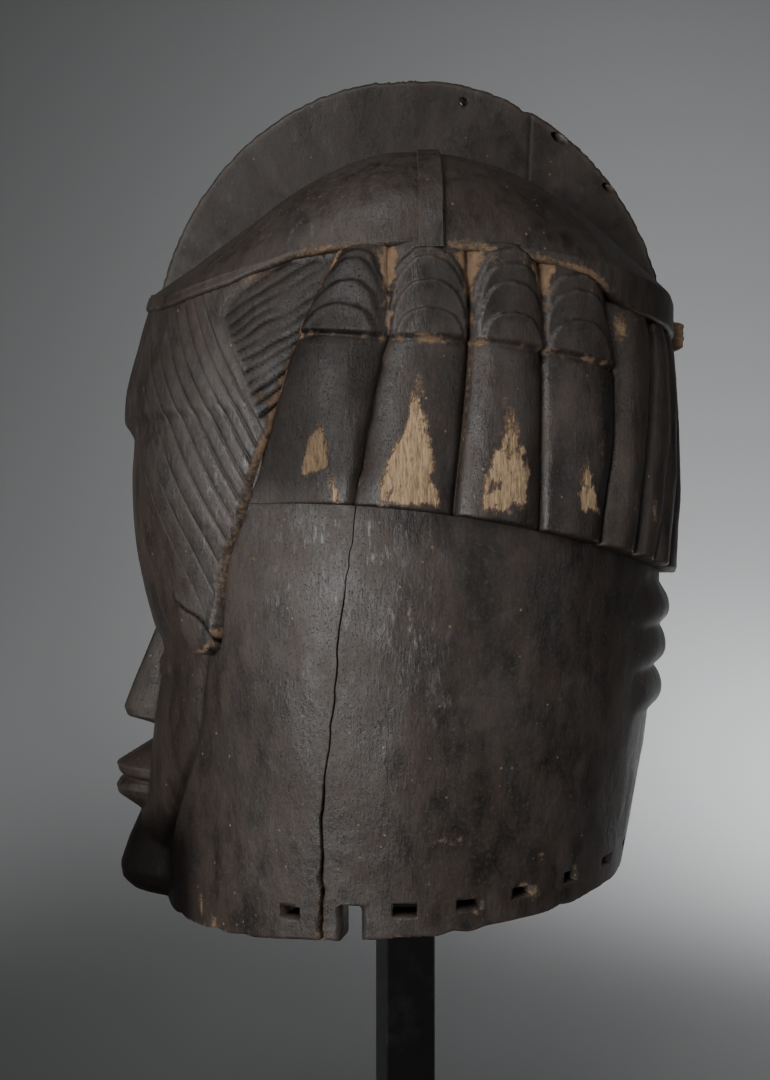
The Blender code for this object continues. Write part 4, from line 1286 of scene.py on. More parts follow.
@dataclass
class TempleHair:
    """Combed hair over one temple, drawn down to a tip beside the brow."""

    plan: HeadPlan
    side: Side
    lean: float = 0.24
    groove_half_width: float = 0.9
    groove_depth: float = 0.6
    edge_round: float = 1.6
    root: float = 5.0
    row_step: float = 0.95
    cross_pitch: float = 5.0
    cross_slope: float = 1.09
    top: float = 296.0
    stations: Table = (
        (125, 38, 43, 4.5), (129, 36, 45.5, 6), (137, 35, 46.5, 6),
        (149, 34, 47, 4.5), (167, 31.5, 48.5, 3.6), (185, 28.5, 53, 3.2),
        (208, 22.5, 57.5, 2.8), (222, 17, 61, 2.6), (230, 9, 62.5, 2.4),
        (233, 0, 63, 2.4), (250, 0, 66, 2.2), (273, 0, 71.5, 1.6), (296, 0, 77, 0.4),
    )
    pitches: Table = ((-40, 4.6), (18, 4.5), (30, 3.6), (42, 2.6), (90, 2.5))
    triangle: Table = (
        (59.5, 289.5), (52, 277), (50.5, 270), (55, 250), (56.3, 236.6), (59.5, 216),
    )
    tongue: Table = ((34, 126.5), (38, 125.5), (42.5, 127.5), (45.5, 132), (46.2, 137))
    crease: Table = ((34, 149), (37.5, 145), (41.5, 141.4), (45.2, 135.5), (46.5, 130))

    def strand_lines(self) -> Array:
        """Leaning directions of the grooves between strands, as they are at the hair's top."""
        lines = [-38.0]
        while lines[-1] < 80.0:
            lines.append(lines[-1] + float(straight_table(self.pitches, np.array(lines[-1]))[0]))
        return np.array(lines)

    def columns(self) -> Array:
        """Leaning directions of the columns, close together at each groove."""
        lines = self.strand_lines()
        lines = lines[lines < 46.0]
        fine = [line + np.array([-0.62, -0.36, -0.18, 0.0, 0.18, 0.36, 0.62]) for line in lines]
        gaps = [np.linspace(one + 0.62, other - 0.62, 4)[1:-1] for one, other in zip(lines, lines[1:])]
        return np.sort(np.concatenate([*fine, *gaps, np.arange(lines[-1] + 0.9, 80.0, 0.3)]))

    def rows(self) -> Array:
        """Heights of the rows."""
        return np.arange(self.stations[0][0], self.top + 0.01, self.row_step)

    def within(self, hand: Array, angle: Array, height: Array) -> Array:
        """Whether each place lies in the triangle of cross-cut hair, by its side of the triangle's border."""
        return (hand < 0) & (height > 214) & (height < 291.5) & (angle > 48)

    def strand_relief(self, angle: Array, height: Array) -> tuple[Array, Array]:
        """Grooves of the strands.

        Args:
            angle: Direction of each place, counted to this side.
            height: Height of each place.

        Returns:
            Depth of the grooves, and how strongly each place is in a groove.
        """
        lines = self.strand_lines()
        lean = angle - self.lean * (self.plan.hair_top - height)
        place = np.clip(np.searchsorted(lines, lean), 1, len(lines) - 1)
        off = np.minimum(np.abs(lean - lines[place - 1]), np.abs(lines[place] - lean))
        number = np.where(np.abs(lean - lines[place - 1]) < np.abs(lines[place] - lean), place - 1, place)
        off = self.plan.arc(off) * 0.88
        uneven = 0.75 + 0.35 * LatticeNoise(64, 180, 31.0)(number * 2.0, height + 17.0 * number)
        fade = rising(height, 150, 40) * (0.06 + 0.94 * rising(angle, 28, 16))
        fade = np.maximum(fade, rising(height, 228, 14) * 0.55)
        deeper = 1 + 1.0 * rising(angle, 38, 8) * falling(height, 250, 40)
        edge_fade = rising(height, 133, 26)
        groove = np.maximum(0.0, 1 - off / self.groove_half_width)
        strands = groove * uneven * np.maximum(fade, 0.25 * edge_fade)
        swell = np.cos(np.pi * np.clip(off / 4.0, 0, 1)) * 0.05
        out, hand = line_distance(self.triangle, angle, height)
        inside = self.within(hand, angle, height) * smooth_step(self.plan.arc(out) / 3.0)
        drift = 1.3 * LatticeNoise(68, 60, 14.0)(angle, height)
        cross = (height + drift - self.cross_slope * (angle - 60.0)) / self.cross_pitch
        number = np.round(cross)
        off_cross = np.abs(cross - number) * self.cross_pitch * 0.8
        uneven = np.clip(0.55 + 0.75 * LatticeNoise(65, 180, 5.0)(number * 7.0, angle), 0, 1)
        groove_cross = np.maximum(0.0, 1 - off_cross / self.groove_half_width) * uneven
        border = bell(self.plan.arc(out) / 1.1) * (height > 214) * (height < 290) * (angle > 48)
        share = strands * (1 - inside) + groove_cross * inside * 1.05
        share = np.maximum(share, 0.6 * border)
        return share * self.groove_depth * deeper + swell * (1 - inside) * fade + 0.6 * inside, share

    def relief(self, angle: Array, height: Array) -> tuple[Array, Array]:
        """How far the hair stands out of the block, and how strongly each place is in a groove."""
        plan = self.plan
        front, back, stand_out = smooth_table(self.stations, height)
        from_front = plan.arc(angle - front)
        from_back = plan.arc(back - angle)
        from_end = (height - self.stations[0][0]) * 1.2
        parting = height > 233.5
        off = np.minimum(np.minimum(np.where(parting, from_front + 0.9, from_front), from_back), from_end)
        off = np.clip(off / self.edge_round, 0, 1)
        edge = np.sqrt(np.maximum(0.0, 1 - (1 - off) ** 2))
        feather = rising(height, 150, 20) * falling(height, 232, 10)
        soft = smooth_step(from_front / 9.0)
        edge = edge * (1 - 0.75 * feather * (1 - soft))
        gap, hand = line_distance(self.crease, angle, height)
        gap = plan.arc(gap)
        low = falling(height, 151, 3)
        beyond = smooth_step(gap / 1.0) * (hand > 0) * low
        crease = bell(gap / 0.8) * low
        depth, share = self.strand_relief(angle, height)
        depth = depth * smooth_step(np.minimum(from_front, from_back) / 1.5 + 0.35 * parting)
        base = plan.front_relief(angle, height)
        swell = 0.5 * LatticeNoise(66 + self.side.value, 26, 30.0)(angle, height)
        raised = stand_out * edge * (1 - 0.2 * beyond) + swell * edge
        return base + raised - depth * (1 - beyond) - 2.0 * crease, np.maximum(share * (1 - beyond), crease)

    def under_crown(self, angle: Array, height: Array) -> Array:
        """Heights drawn together where they would rise through the crown."""
        edge = self.plan.edge_height(angle) + 2.5
        return np.minimum(height, edge + np.maximum(height - edge, 0) * 0.12)

    def build(self) -> Thing:
        """Builds the hair of this temple."""
        rows, columns = self.rows(), self.columns()
        height = np.repeat(rows[:, None], len(columns), axis=1)
        front, back, _ = smooth_table(self.stations, rows)
        angle = columns[None, :] + self.lean * (self.plan.hair_top - height)
        angle = np.clip(angle, front[:, None], back[:, None])
        height = self.under_crown(angle, height)
        relief, _ = self.relief(angle, height)
        sign = self.side.value
        outer = self.plan.place(sign * angle, height, relief)
        share = np.linspace(0, 1, 9)[None, :]
        inner_angle = front[:, None] + (back - front)[:, None] * share
        inner_height = self.under_crown(inner_angle, np.repeat(rows[:, None], share.shape[1], axis=1))
        inner = self.plan.place(sign * inner_angle, inner_height, -self.root)
        points, faces = sheet_shell(outer, inner)
        return mesh_piece(f"temple_hair_{self.side.name.lower()}", points, faces)

    def dress(self, piece: Thing, finish: Finish) -> None:
        """Marks dust in the grooves and along the back edge, and gives the hair its finish."""
        plan = self.plan
        angle, height = plan.read(mesh_points(piece))
        angle = np.abs(angle)
        front, back, _ = smooth_table(self.stations, height)
        _, share = self.relief(angle, height)
        blotch = LatticeNoise(67 + self.side.value, 48, 16.0)(angle, height)
        upper = rising(height, 245, 35)
        at_back = bell(plan.arc(back - angle) / 2.6)
        crown = bell((height - plan.edge_height(angle)) / 5.0)
        out, hand = line_distance(self.triangle, angle, height)
        cross = self.within(hand, angle, height) * smooth_step(plan.arc(out) / 3.0)
        dust = share * (0.10 + 0.45 * upper * np.clip(0.6 + blotch, 0, 1))
        dust += at_back * (0.5 + 0.4 * blotch) * rising(height, 200, 25)
        dust += 0.55 * at_back * rising(height, 138, 20)
        dust += crown * np.clip(0.35 + 1.2 * blotch, 0, 1) * rising(angle, 38, 14)
        dust += 0.75 * bell(line_distance(self.tongue, angle, height)[0])
        dust += spots_at(HAIR_DUST, angle, height)
        bare = spots_at(HAIR_BARE, angle, height)
        # painted shade in the crease by the tongue, in the strands' grooves and over the cross-cut triangle
        gap = line_distance(self.crease, angle, height)[0]
        deep = 0.95 * bell(plan.arc(gap) / 1.1) * (height < 150)
        deep += 0.42 * share * (1 - upper) * (height > 150)
        deep += cross * (0.44 + 0.40 * share)
        mark(
            piece, dust=dust, bare=bare, wear=0.35 + 0.4 * blotch - share, deep=deep,
            scuff=HAIR_SCUFF(angle, height) * (1 - share),
            brown=0.5 * bell((angle - front) / 5.0) * (height < 232),
        )
        put(piece, Slot.DARK_WOOD, finish, MASK_NODE)


HAIR_DUST = (Spot(62.5, 232.0, 1.6, 5.0, 0.8), Spot(59.5, 236.0, 1.2, 3.0, 0.7))
HAIR_BARE = (Spot(38.0, 128.0, 3.0, 1.6, 0.35), Spot(33.8, 130.0, 1.3, 4.0, 0.4))
# scratches on the strands' tops over the temple: partly real, partly a painted bluish sheen
HAIR_SCUFF = Spot(50.0, 195.0, 9.0, 35.0, 0.8)


@dataclass
class HairRolls:
    """Rolls of hair side by side, from one temple round the back to the other."""

    plan: HeadPlan
    temple: TempleHair
    crack: Crack
    boundaries: tuple[Table, ...] = (
        ((188, 97.7), (255, 100.5), (297, 100.5)),
        ((182, 114.2), (255, 114.9), (297, 114.9)),
        ((160, 127.6), (176, 128.5), (197, 130.1), (219, 132.3), (245, 132.8), (266, 131.8),
         (297, 130.5)),
        ((160, 138), (172, 139.3), (202, 141.9), (225, 144.9), (248, 147.3), (271, 148.5),
         (297, 149)),
        ((160, 145.5), (169, 146.4), (194, 150.6), (218, 155), (241, 156.8), (265, 157.3),
         (297, 157.5)),
        ((160, 153.5), (181, 156.8), (195, 160), (219, 162.5), (241, 164.2), (265, 165),
         (297, 165.5)),
        ((160, 166), (219, 171), (265, 173.5), (297, 174)),
    )
    rolls: int = 17
    tiered: int = 4
    start_angle: float = 86.0
    hem_level: float = 188.0
    hem_slope: float = 0.11
    hem_curve: float = 0.0009
    columns_a_roll: int = 33
    flank_depth: float = 5.2
    plain_flank: float = 6.5
    narrow_flank: float = 3.6
    flank_power: float = 2.4
    crease_depth: float = 2.0
    root: float = 5.0
    top: float = 297.0
    stations: Table = ((157, 9.3), (226, 9.4), (255, 8.7), (275, 8.6), (297, 8))
    plain_stations: Table = (
        (157, 9.3), (226, 9.4), (255, 8.6), (268, 7.4), (277, 5.4), (297, 3),
    )
    division: Table = (
        (60, 261), (69, 260.5), (86, 257.2), (100, 256.2), (114, 253.7), (126.5, 251),
        (132, 249), (150, 247), (180, 246),
    )
    tier_tops: tuple[float, ...] = (0.36, 0.66, 0.88, 1.04)
    tier_widths: tuple[float, ...] = (0.80, 0.93, 1.02, 1.10)
    tier_step: float = 1.0
    tier_rise: float = 0.7

    def boundary(self, number: int, height: Array) -> Array:
        """Direction of the groove before a roll, counted from the near temple."""
        if number > self.rolls // 2:
            return 360.0 - self.boundary(self.rolls - number, height)
        if number == 0:
            return smooth_table(self.temple.stations, height)[1] - 0.9
        if number == 1:
            return np.minimum(self.crack.angle(height), self.start_angle)
        return smooth_table(self.boundaries[number - 2], height)[0]

    def hem(self, angle: Array) -> Array:
        """Height of the rolls' flat lower ends, lower towards the back."""
        level = np.full(np.shape(angle), self.hem_level)
        x, _ = self.plan.plan_point(angle, smooth_table(self.plan.block, level), 0 * level)
        return self.hem_level - self.hem_slope * x - self.hem_curve * x * x

    def divide(self, angle: Array) -> Array:
        """Height of the line between the rolls and their stepped heads."""
        side = np.where(angle > 180, 360 - angle, angle)
        return smooth_table(self.division, side)[0]

    def kinds(self, number: Array, local: Array) -> tuple[Array, Array]:
        """Whether each place lies on a roll with a stepped head, and whether it lies beside the crack."""
        tiered = (number < self.tiered) | (number >= self.rolls - self.tiered)
        return tiered, ((number == 0) & (local > 0)) | ((number == 1) & (local < 0))

    def grid(self) -> tuple[Array, Array, Array, Array]:
        """Places of the grid's points.

        Returns:
            Angle, height, how far across its roll each point lies from -1 to 1, and its roll's number.
        """
        low = np.concatenate([[0.0, 0.35, 1.0, 2.0], np.arange(4.0, 68.0, 1.75)]) / 68.0
        rows = np.concatenate([low, 1 + np.arange(0, 55) / 54.0])
        step = np.linspace(-1, 1, self.columns_a_roll + 1)
        step = 0.72 * step + 0.28 * np.sin(np.pi / 2 * step)
        local = np.concatenate([step[:-1]] * self.rolls + [[1.0]])
        number = np.concatenate([np.repeat(np.arange(self.rolls), self.columns_a_roll), [self.rolls - 1]])
        pick = np.arange(len(local))
        height = 157.0 + 70.0 * np.repeat(rows[:, None], len(local), axis=1)
        angle = np.zeros_like(height)
        for _ in range(4):
            for r, row in enumerate(rows):
                edges = np.stack([self.boundary(n, height[r]) for n in range(self.rolls + 1)])
                before, after = edges[number, pick], edges[number + 1, pick]
                angle[r] = before + (after - before) * (local + 1) / 2
                hem, divide = self.hem(angle[r]), self.divide(angle[r])
                lower = hem + (divide - hem) * min(row, 1.0)
                top = np.minimum(self.top, self.plan.edge_height(angle[r]) + 5.0)
                height[r] = lower + (top - divide) * max(row - 1.0, 0.0)
        return angle, height, np.broadcast_to(local, angle.shape), np.broadcast_to(number, angle.shape)

    def relief(self, angle: Array, height: Array, local: Array, number: Array) -> tuple[Array, Array, Array]:
        """How far the rolls stand out of the block.

        Returns:
            The relief, how close each place is to a groove, and how close to the edge of a tier.
        """
        plan = self.plan
        tiered, at_crack = self.kinds(number, local)
        narrow = ~tiered & (number > self.tiered) & (number < self.rolls - self.tiered - 1)
        stand_out = straight_table(self.stations, height)[0]
        stand_out = np.where(tiered, stand_out, straight_table(self.plain_stations, height)[0])
        size = np.abs(local)
        hem, divide = self.hem(angle), self.divide(angle)
        width = np.where(tiered, 15.8, np.where(narrow, 8.5, 15.0))
        to_side = (1 - size) * width
        flank = np.where(tiered, self.flank_depth, np.where(narrow, self.narrow_flank, self.plain_flank))
        flank = flank * size**self.flank_power * (1 - 0.45 * at_crack)
        flank = flank * (1 - 0.7 * ~tiered * rising(height, 268, 24.0))
        crease = bell(to_side / 1.0) * (1 - 0.6 * at_crack)
        upper = np.clip((height - divide) / (plan.hair_top - divide), 0, 1.1)
        above = smooth_step((height - divide + 0.2) / 1.2) * tiered
        steps, edge, rise = np.zeros((3, *np.shape(angle)))
        shift = local + 0.10 * np.sin(number * 2.3 + 0.8)
        covered = np.zeros(np.shape(angle), bool)
        for top, wide in zip(self.tier_tops, self.tier_widths):
            draw = 0.03 * np.sin(number * 5.1 + top * 17.0)
            ragged = 0.02 * LatticeNoise(76, 300, 5.0)(angle, height)
            oval = ((np.abs(shift) / wide) ** 2.3 + (np.maximum(upper, 0) / (top + draw)) ** 2.3) ** (1 / 2.3)
            oval = oval + ragged
            steps += smooth_step((oval - 1) / 0.045 + 0.5)
            edge = np.maximum(edge, bell((oval - 0.97) / 0.025))
            lift = self.tier_rise * (1 - np.clip((1 - oval) * 3.5, 0, 1))
            rise = np.where((oval <= 1) & ~covered, lift, rise)
            covered |= oval <= 1
        edge = edge * above * (upper < 1.05)
        line = bell((height - divide) / 1.2) * tiered
        bottom = np.clip((height - hem) / 1.3, 0, 1)
        lip = 1.3 * (1 - np.sqrt(np.maximum(0.0, 1 - (1 - bottom) ** 2)))
        swell = 0.5 * LatticeNoise(71, 52, 40.0)(angle, height)
        swell += 0.25 * LatticeNoise(72, 120, 14.0)(angle, height)
        facet = 0.55 * (ToolMarks(73, 48, 30.0)(angle, height) - 0.35)
        relief = stand_out - flank * (1 - 0.35 * above) - self.crease_depth * crease
        relief = relief - self.tier_step * steps * above + rise * above - 1.5 * line + 1.0 * above
        relief = relief - lip + swell + facet
        side = np.where(angle > 180, 360 - angle, angle)
        sink = falling(side, 86.0, 29.0) * smooth_step((hem + 60.0 - height) / 52.0)
        relief = relief - sink * (relief - 0.4)
        tuck = falling(side, 66.0, 10.0) * above
        return relief - 1.2 * tuck, np.maximum(crease, 0.8 * line), edge

    def build(self) -> Thing:
        """Builds all the rolls as one closed form."""
        angle, height, local, number = self.grid()
        relief, _, _ = self.relief(angle, height, local, number)
        near = np.where(angle < 180, angle, 999.0)
        relief = relief - self.crack.depth(near, height, self.plan) * 0.8
        outer = self.plan.place(angle, height, relief)
        under = self.plan.place(angle[:1], height[:1], relief[:1] - 2.2)
        outer = np.concatenate([under, outer])
        pick = np.linspace(0, angle.shape[1] - 1, 76).round().astype(int)
        inner = self.plan.place(angle[:, pick], height[:, pick], -self.root)
        inner = np.concatenate([inner[:1], inner])
        points, faces = sheet_shell(outer, inner)
        return mesh_piece("hair_rolls", points, faces)

    def local(self, angle: Array, height: Array) -> tuple[Array, Array]:
        """How far across its roll each place lies, and the roll's number."""
        edges = np.stack([self.boundary(n, height) for n in range(self.rolls + 1)])
        number = np.clip((edges <= angle[None, :]).sum(0) - 1, 0, self.rolls - 1)
        pick = np.arange(len(angle))
        before, after = edges[number, pick], edges[number + 1, pick]
        return np.clip(2 * (angle - before) / (after - before) - 1, -1, 1), number

    def dress(self, piece: Thing, finish: Finish) -> None:
        """Marks dust in the grooves, bare wood on the rolls' ends and worn edges."""
        plan = self.plan
        angle, height = plan.read(mesh_points(piece))
        angle = angle % 360
        local, number = self.local(angle, height)
        _, _, edge = self.relief(angle, height, local, number)
        divide = self.divide(angle)
        tiered, at_crack = self.kinds(number, local)
        above = smooth_step((height - divide + 1) / 3.0) * tiered
        top = smooth_step((height - divide) / (plan.hair_top - divide))
        size = np.abs(local)
        blotch = LatticeNoise(74, 60, 17.0)(angle, height)
        fine = LatticeNoise(75, 200, 6.0)(angle, height)
        rough = LatticeNoise(77, 420, 3.0)(angle, height)
        corner = smooth_step((size - 0.85 + 0.24 * top + 0.05 * rough) / 0.24) * above
        dust = corner * np.clip(0.56 + 0.45 * blotch + 0.45 * fine + 0.3 * rough, 0, 1)
        flank = rising(size, 0.86, 0.14) * (1 - above) * tiered
        right = smooth_step((-local - 0.80) / 0.2) * (1 - above) * (height > divide - 62) * tiered
        dust += 0.30 * flank * np.clip(0.4 + blotch + fine, 0, 1) + 0.30 * right * np.clip(0.5 + blotch, 0, 1)
        line = bell((height - divide) / 1.7) * tiered
        dust += line * np.clip(0.35 + 0.9 * fine + 0.5 * rough, 0, 1)
        hem = self.hem(angle)
        dust += 0.30 * bell((height - hem) / 1.5) * np.clip(0.2 + fine, 0, 1)
        first = bell(plan.arc(angle - self.boundary(0, height)) / (1.5 + rising(height, 215, 30)))
        dust += first * np.clip(0.6 + 0.6 * blotch, 0, 1) * (0.35 + 0.65 * rising(height, 215, 30))
        under = bell((height - plan.edge_height(angle) + 2.0) / 4.0)
        dust += 0.45 * under * np.clip(0.2 + blotch + 0.5 * fine, 0, 1)
        dust += spots_at(ROLL_DUST, angle, height)
        bare = np.zeros(np.shape(angle))
        for patch in BARE_PATCHES:
            bare = np.maximum(bare, patch.field(angle, height, plan))
        bare = bare + 0.30 * bare * fine + 0.22 * rough * (bare > 0.02)
        # painted shade in the grooves between rolls and in the crack
        deep = 0.75 * bell(((1 - size) * 15.6) / 0.8) * (1 - 0.55 * above) * (1 - 0.7 * at_crack)
        near = np.where(angle < 180, angle, 999.0)
        deep += self.crack.shade(near, height, plan) * (height < 258)
        # painted shade over the upper part of the first rolls, away from dusty places
        deep += 0.52 * falling(near, 92, 12) * (dust < 0.5) * rising(height, 186, 20)
        # the tiers' edges and a few spots get pale scratches, partly a painted highlight
        mark(
            piece, dust=dust, bare=bare, wear=0.8 * edge + 0.25 * falling(size, 0.5, 0.5),
            deep=deep, scuff=0.25 * edge + spots_at(ROLL_SCUFF, angle, height),
            brown=0.35 * flank + 0.3 * right + 0.25 * ~tiered,
        )
        put(piece, Slot.DARK_WOOD, finish, MASK_NODE)


@dataclass(frozen=True)
class BarePatch:
    """Ragged place where the dark surface has flaked from the wood."""

    outline: Table
    softness: float = 3.2
    strength: float = 1.0

    def field(self, angle: Array, height: Array, plan: HeadPlan) -> Array:
        """How surely each place lies in the patch: 0.5 on its edge, more inside."""
        left, right = straight_table(self.outline, height)
        across = plan.arc(np.minimum(angle - left, right - angle))
        low, high = self.outline[0][0], self.outline[-1][0]
        inside = np.minimum(across, np.minimum(height - low, high - height) * 0.7)
        return self.strength * np.clip(0.5 + inside / (2 * self.softness), 0, 0.82)


BARE_PATCHES = (
    BarePatch((
        (203, 68.2, 72), (206, 68.2, 74.3), (211, 69, 75), (217, 70.2, 74.2),
        (224, 72.2, 73.2),
    ), 2.2),
    BarePatch(((190.5, 75.2, 77), (198, 74.6, 76.2), (205, 74.2, 75.4)), 2.2, 0.8),
    BarePatch((
        (190, 83.4, 94.6), (193, 84, 94.4), (200, 84.6, 94.2), (207, 85.9, 93.9),
        (216, 88.2, 93.1), (224.7, 89.7, 92.5), (233, 90.6, 91.5),
    ), 3.0),
    BarePatch((
        (188.5, 102.6, 109.4), (195, 102.3, 110.4), (203, 103, 110.5), (212, 104.2, 110),
        (220, 105.9, 108.8), (229, 106.8, 107.6),
    ), 3.2, 0.93),
    BarePatch((
        (188, 120.9, 126), (194, 120.8, 125.2), (200, 121.6, 124.4), (209, 122.5, 123.3),
    ), 3.0, 0.95),
    BarePatch(((189, 262, 268), (199, 263.5, 267.5), (210, 265.5, 266.8)), 3.4, 0.85),
    BarePatch(((187, 246, 252), (196, 247, 251), (204, 248.5, 249.5)), 3.4, 0.75),
    BarePatch(((168, 179, 184.5), (176, 180, 184), (186, 181.6, 182.6)), 3.4, 0.8),
)
ROLL_DUST = (
    Spot(136, 190, 1.2, 9, 0.5), Spot(143.5, 188, 0.8, 6, 0.8), Spot(145.5, 179, 0.8, 5, 0.7),
    Spot(152, 200, 0.8, 9, 0.5), Spot(127, 216, 1.2, 12, 0.4),
    Spot(91.3, 238, 0.9, 6, 0.65), Spot(134.5, 268, 1.6, 7, 0.9), Spot(122, 203, 2.2, 5, 0.5),
    Spot(106.5, 231, 0.9, 4, 0.5),
)
# scratched places on the rolls: partly real scratches, partly a painted highlight
ROLL_SCUFF = (
    Spot(101.3, 190, 1.6, 4, 0.9), Spot(76, 236, 3, 4, 0.4), Spot(73, 199, 3, 5, 0.5),
    Spot(160, 225, 3, 30, 0.5), Spot(250, 220, 5, 16, 0.4),
)


@dataclass
class Crown:
    """Smooth dome above the hair."""

    plan: HeadPlan
    temple: TempleHair
    lap: float = 1.3
    inner_inset: float = 6.0
    columns: int = 300
    skirt_rows: int = 7
    dome_rows: int = 60
    inner_rows: int = 11
    edge_round: float = 1.6
    seam_fade: float = 0.3
    back_lip: float = 2.6

    def lip(self, angle: Array, height: Array) -> Array:
        """How far the crown's lower edge stands out of the block."""
        stand_out = smooth_table(self.temple.stations, height)[2]
        hair = self.plan.front_relief(angle, height) + stand_out + self.lap
        over_hair = falling(np.abs(angle), 80, 12)
        at_back = self.back_lip * rising(np.abs(angle), 108, 16)
        return np.maximum(hair * over_hair, self.plan.band_lip + at_back)

    def weathering(self, angle: Array, up: Array) -> Array:
        """Uneven carving of the dome."""
        facets = ToolMarks(81, 26, 40.0)(angle, up)
        return 0.8 * (facets - 0.4) + 0.7 * LatticeNoise(82, 16, 60.0)(angle, up)

    def build(self) -> Thing:
        """Builds the dome with its lower edge."""
        plan = self.plan
        angle = np.linspace(-180, 180, self.columns, endpoint=False)
        edge = plan.edge_height(angle) + 0.4 * LatticeNoise(83, 70, 5.0)(angle, 0 * angle)
        base = np.maximum(plan.base_height(angle), edge + self.edge_round + 1.0)
        rings = [plan.place(angle, edge + 0.5, -self.inner_inset + 0 * angle)]
        for inset, up in map(quarter, (0.0, 0.5, 1.0)):
            height = edge + self.edge_round * up
            rings.append(plan.place(angle, height, self.lip(angle, height) - self.edge_round * inset))
        for row in range(1, self.skirt_rows):
            height = edge + self.edge_round + (base - edge - self.edge_round) * row / self.skirt_rows
            marks = 0.4 * self.weathering(angle, height)
            rings.append(plan.place(angle, height, self.lip(angle, height) + marks))
        seam = self.lip(angle, base)
        for row in range(self.dome_rows):
            share = 0.004 + 0.992 * eased_share(row, self.dome_rows - 1)
            fade = 1 - float(smooth_step(np.array(share / self.seam_fade)))
            height = base + (plan.crown_top - base) * share
            marks = self.weathering(angle, height) * min(1.0, 4 * (1 - share))
            stand_out = plan.band_lip + (seam - plan.band_lip) * fade + marks
            rings.append(plan.dome(angle, share, 0.0, stand_out))
        outer_rows = len(rings)
        for row in range(self.inner_rows - 1, -1, -1):
            share = eased_share(row, self.inner_rows)
            rings.append(plan.dome(angle, share, self.inner_inset, 0 * angle))
        count = self.columns
        outer, inner = np.stack(rings[:outer_rows]), np.stack(rings[outer_rows:])
        points = np.concatenate([outer.reshape(-1, 3), inner.reshape(-1, 3)])
        levels = plan.crown_top - np.array([0.0, self.inner_inset])
        tops = plan.metres(np.zeros(2), np.zeros(2), levels)
        start, apex = outer_rows * count, len(points)
        foot = start + (self.inner_rows - 1) * count
        faces = grid_faces(outer_rows, count, 0, True) + grid_faces(self.inner_rows, count, start, True)
        faces += fan(start - count, count, apex) + fan(start, count, apex + 1)
        faces += [(foot + i, foot + (i + 1) % count, (i + 1) % count, i) for i in range(count)]
        return mesh_piece("crown", np.concatenate([points, tops]), faces)

    def dress(self, piece: Thing, finish: Finish) -> None:
        """Marks wear on the dome and dust along its lower edge."""
        plan = self.plan
        angle, height = plan.read(mesh_points(piece))
        up = (height - plan.edge_height(angle)) / 10.0
        blotch = LatticeNoise(84, 40, 20.0)(angle, height)
        ridge = bell((height - 345.0) / 10.0)
        dust = bell(up / 0.35) * np.clip(0.55 + blotch, 0, 1)
        dust += 0.25 * ridge * np.clip(blotch, 0, 1)
        # pale scratches over the dome and one larger spot of them on its near upper side: partly real, partly
        # a painted highlight
        scuff = 0.15 * np.clip(blotch, 0, 1) + Spot(66.0, 313.0, 10.0, 11.0, 0.55)(angle, height)
        wear = 0.4 + 0.4 * blotch + 0.3 * ridge
        mark(piece, dust=dust, wear=wear, scuff=scuff, brown=0.2 + 0.3 * ridge)
        put(piece, Slot.DARK_WOOD, finish, MASK_NODE)


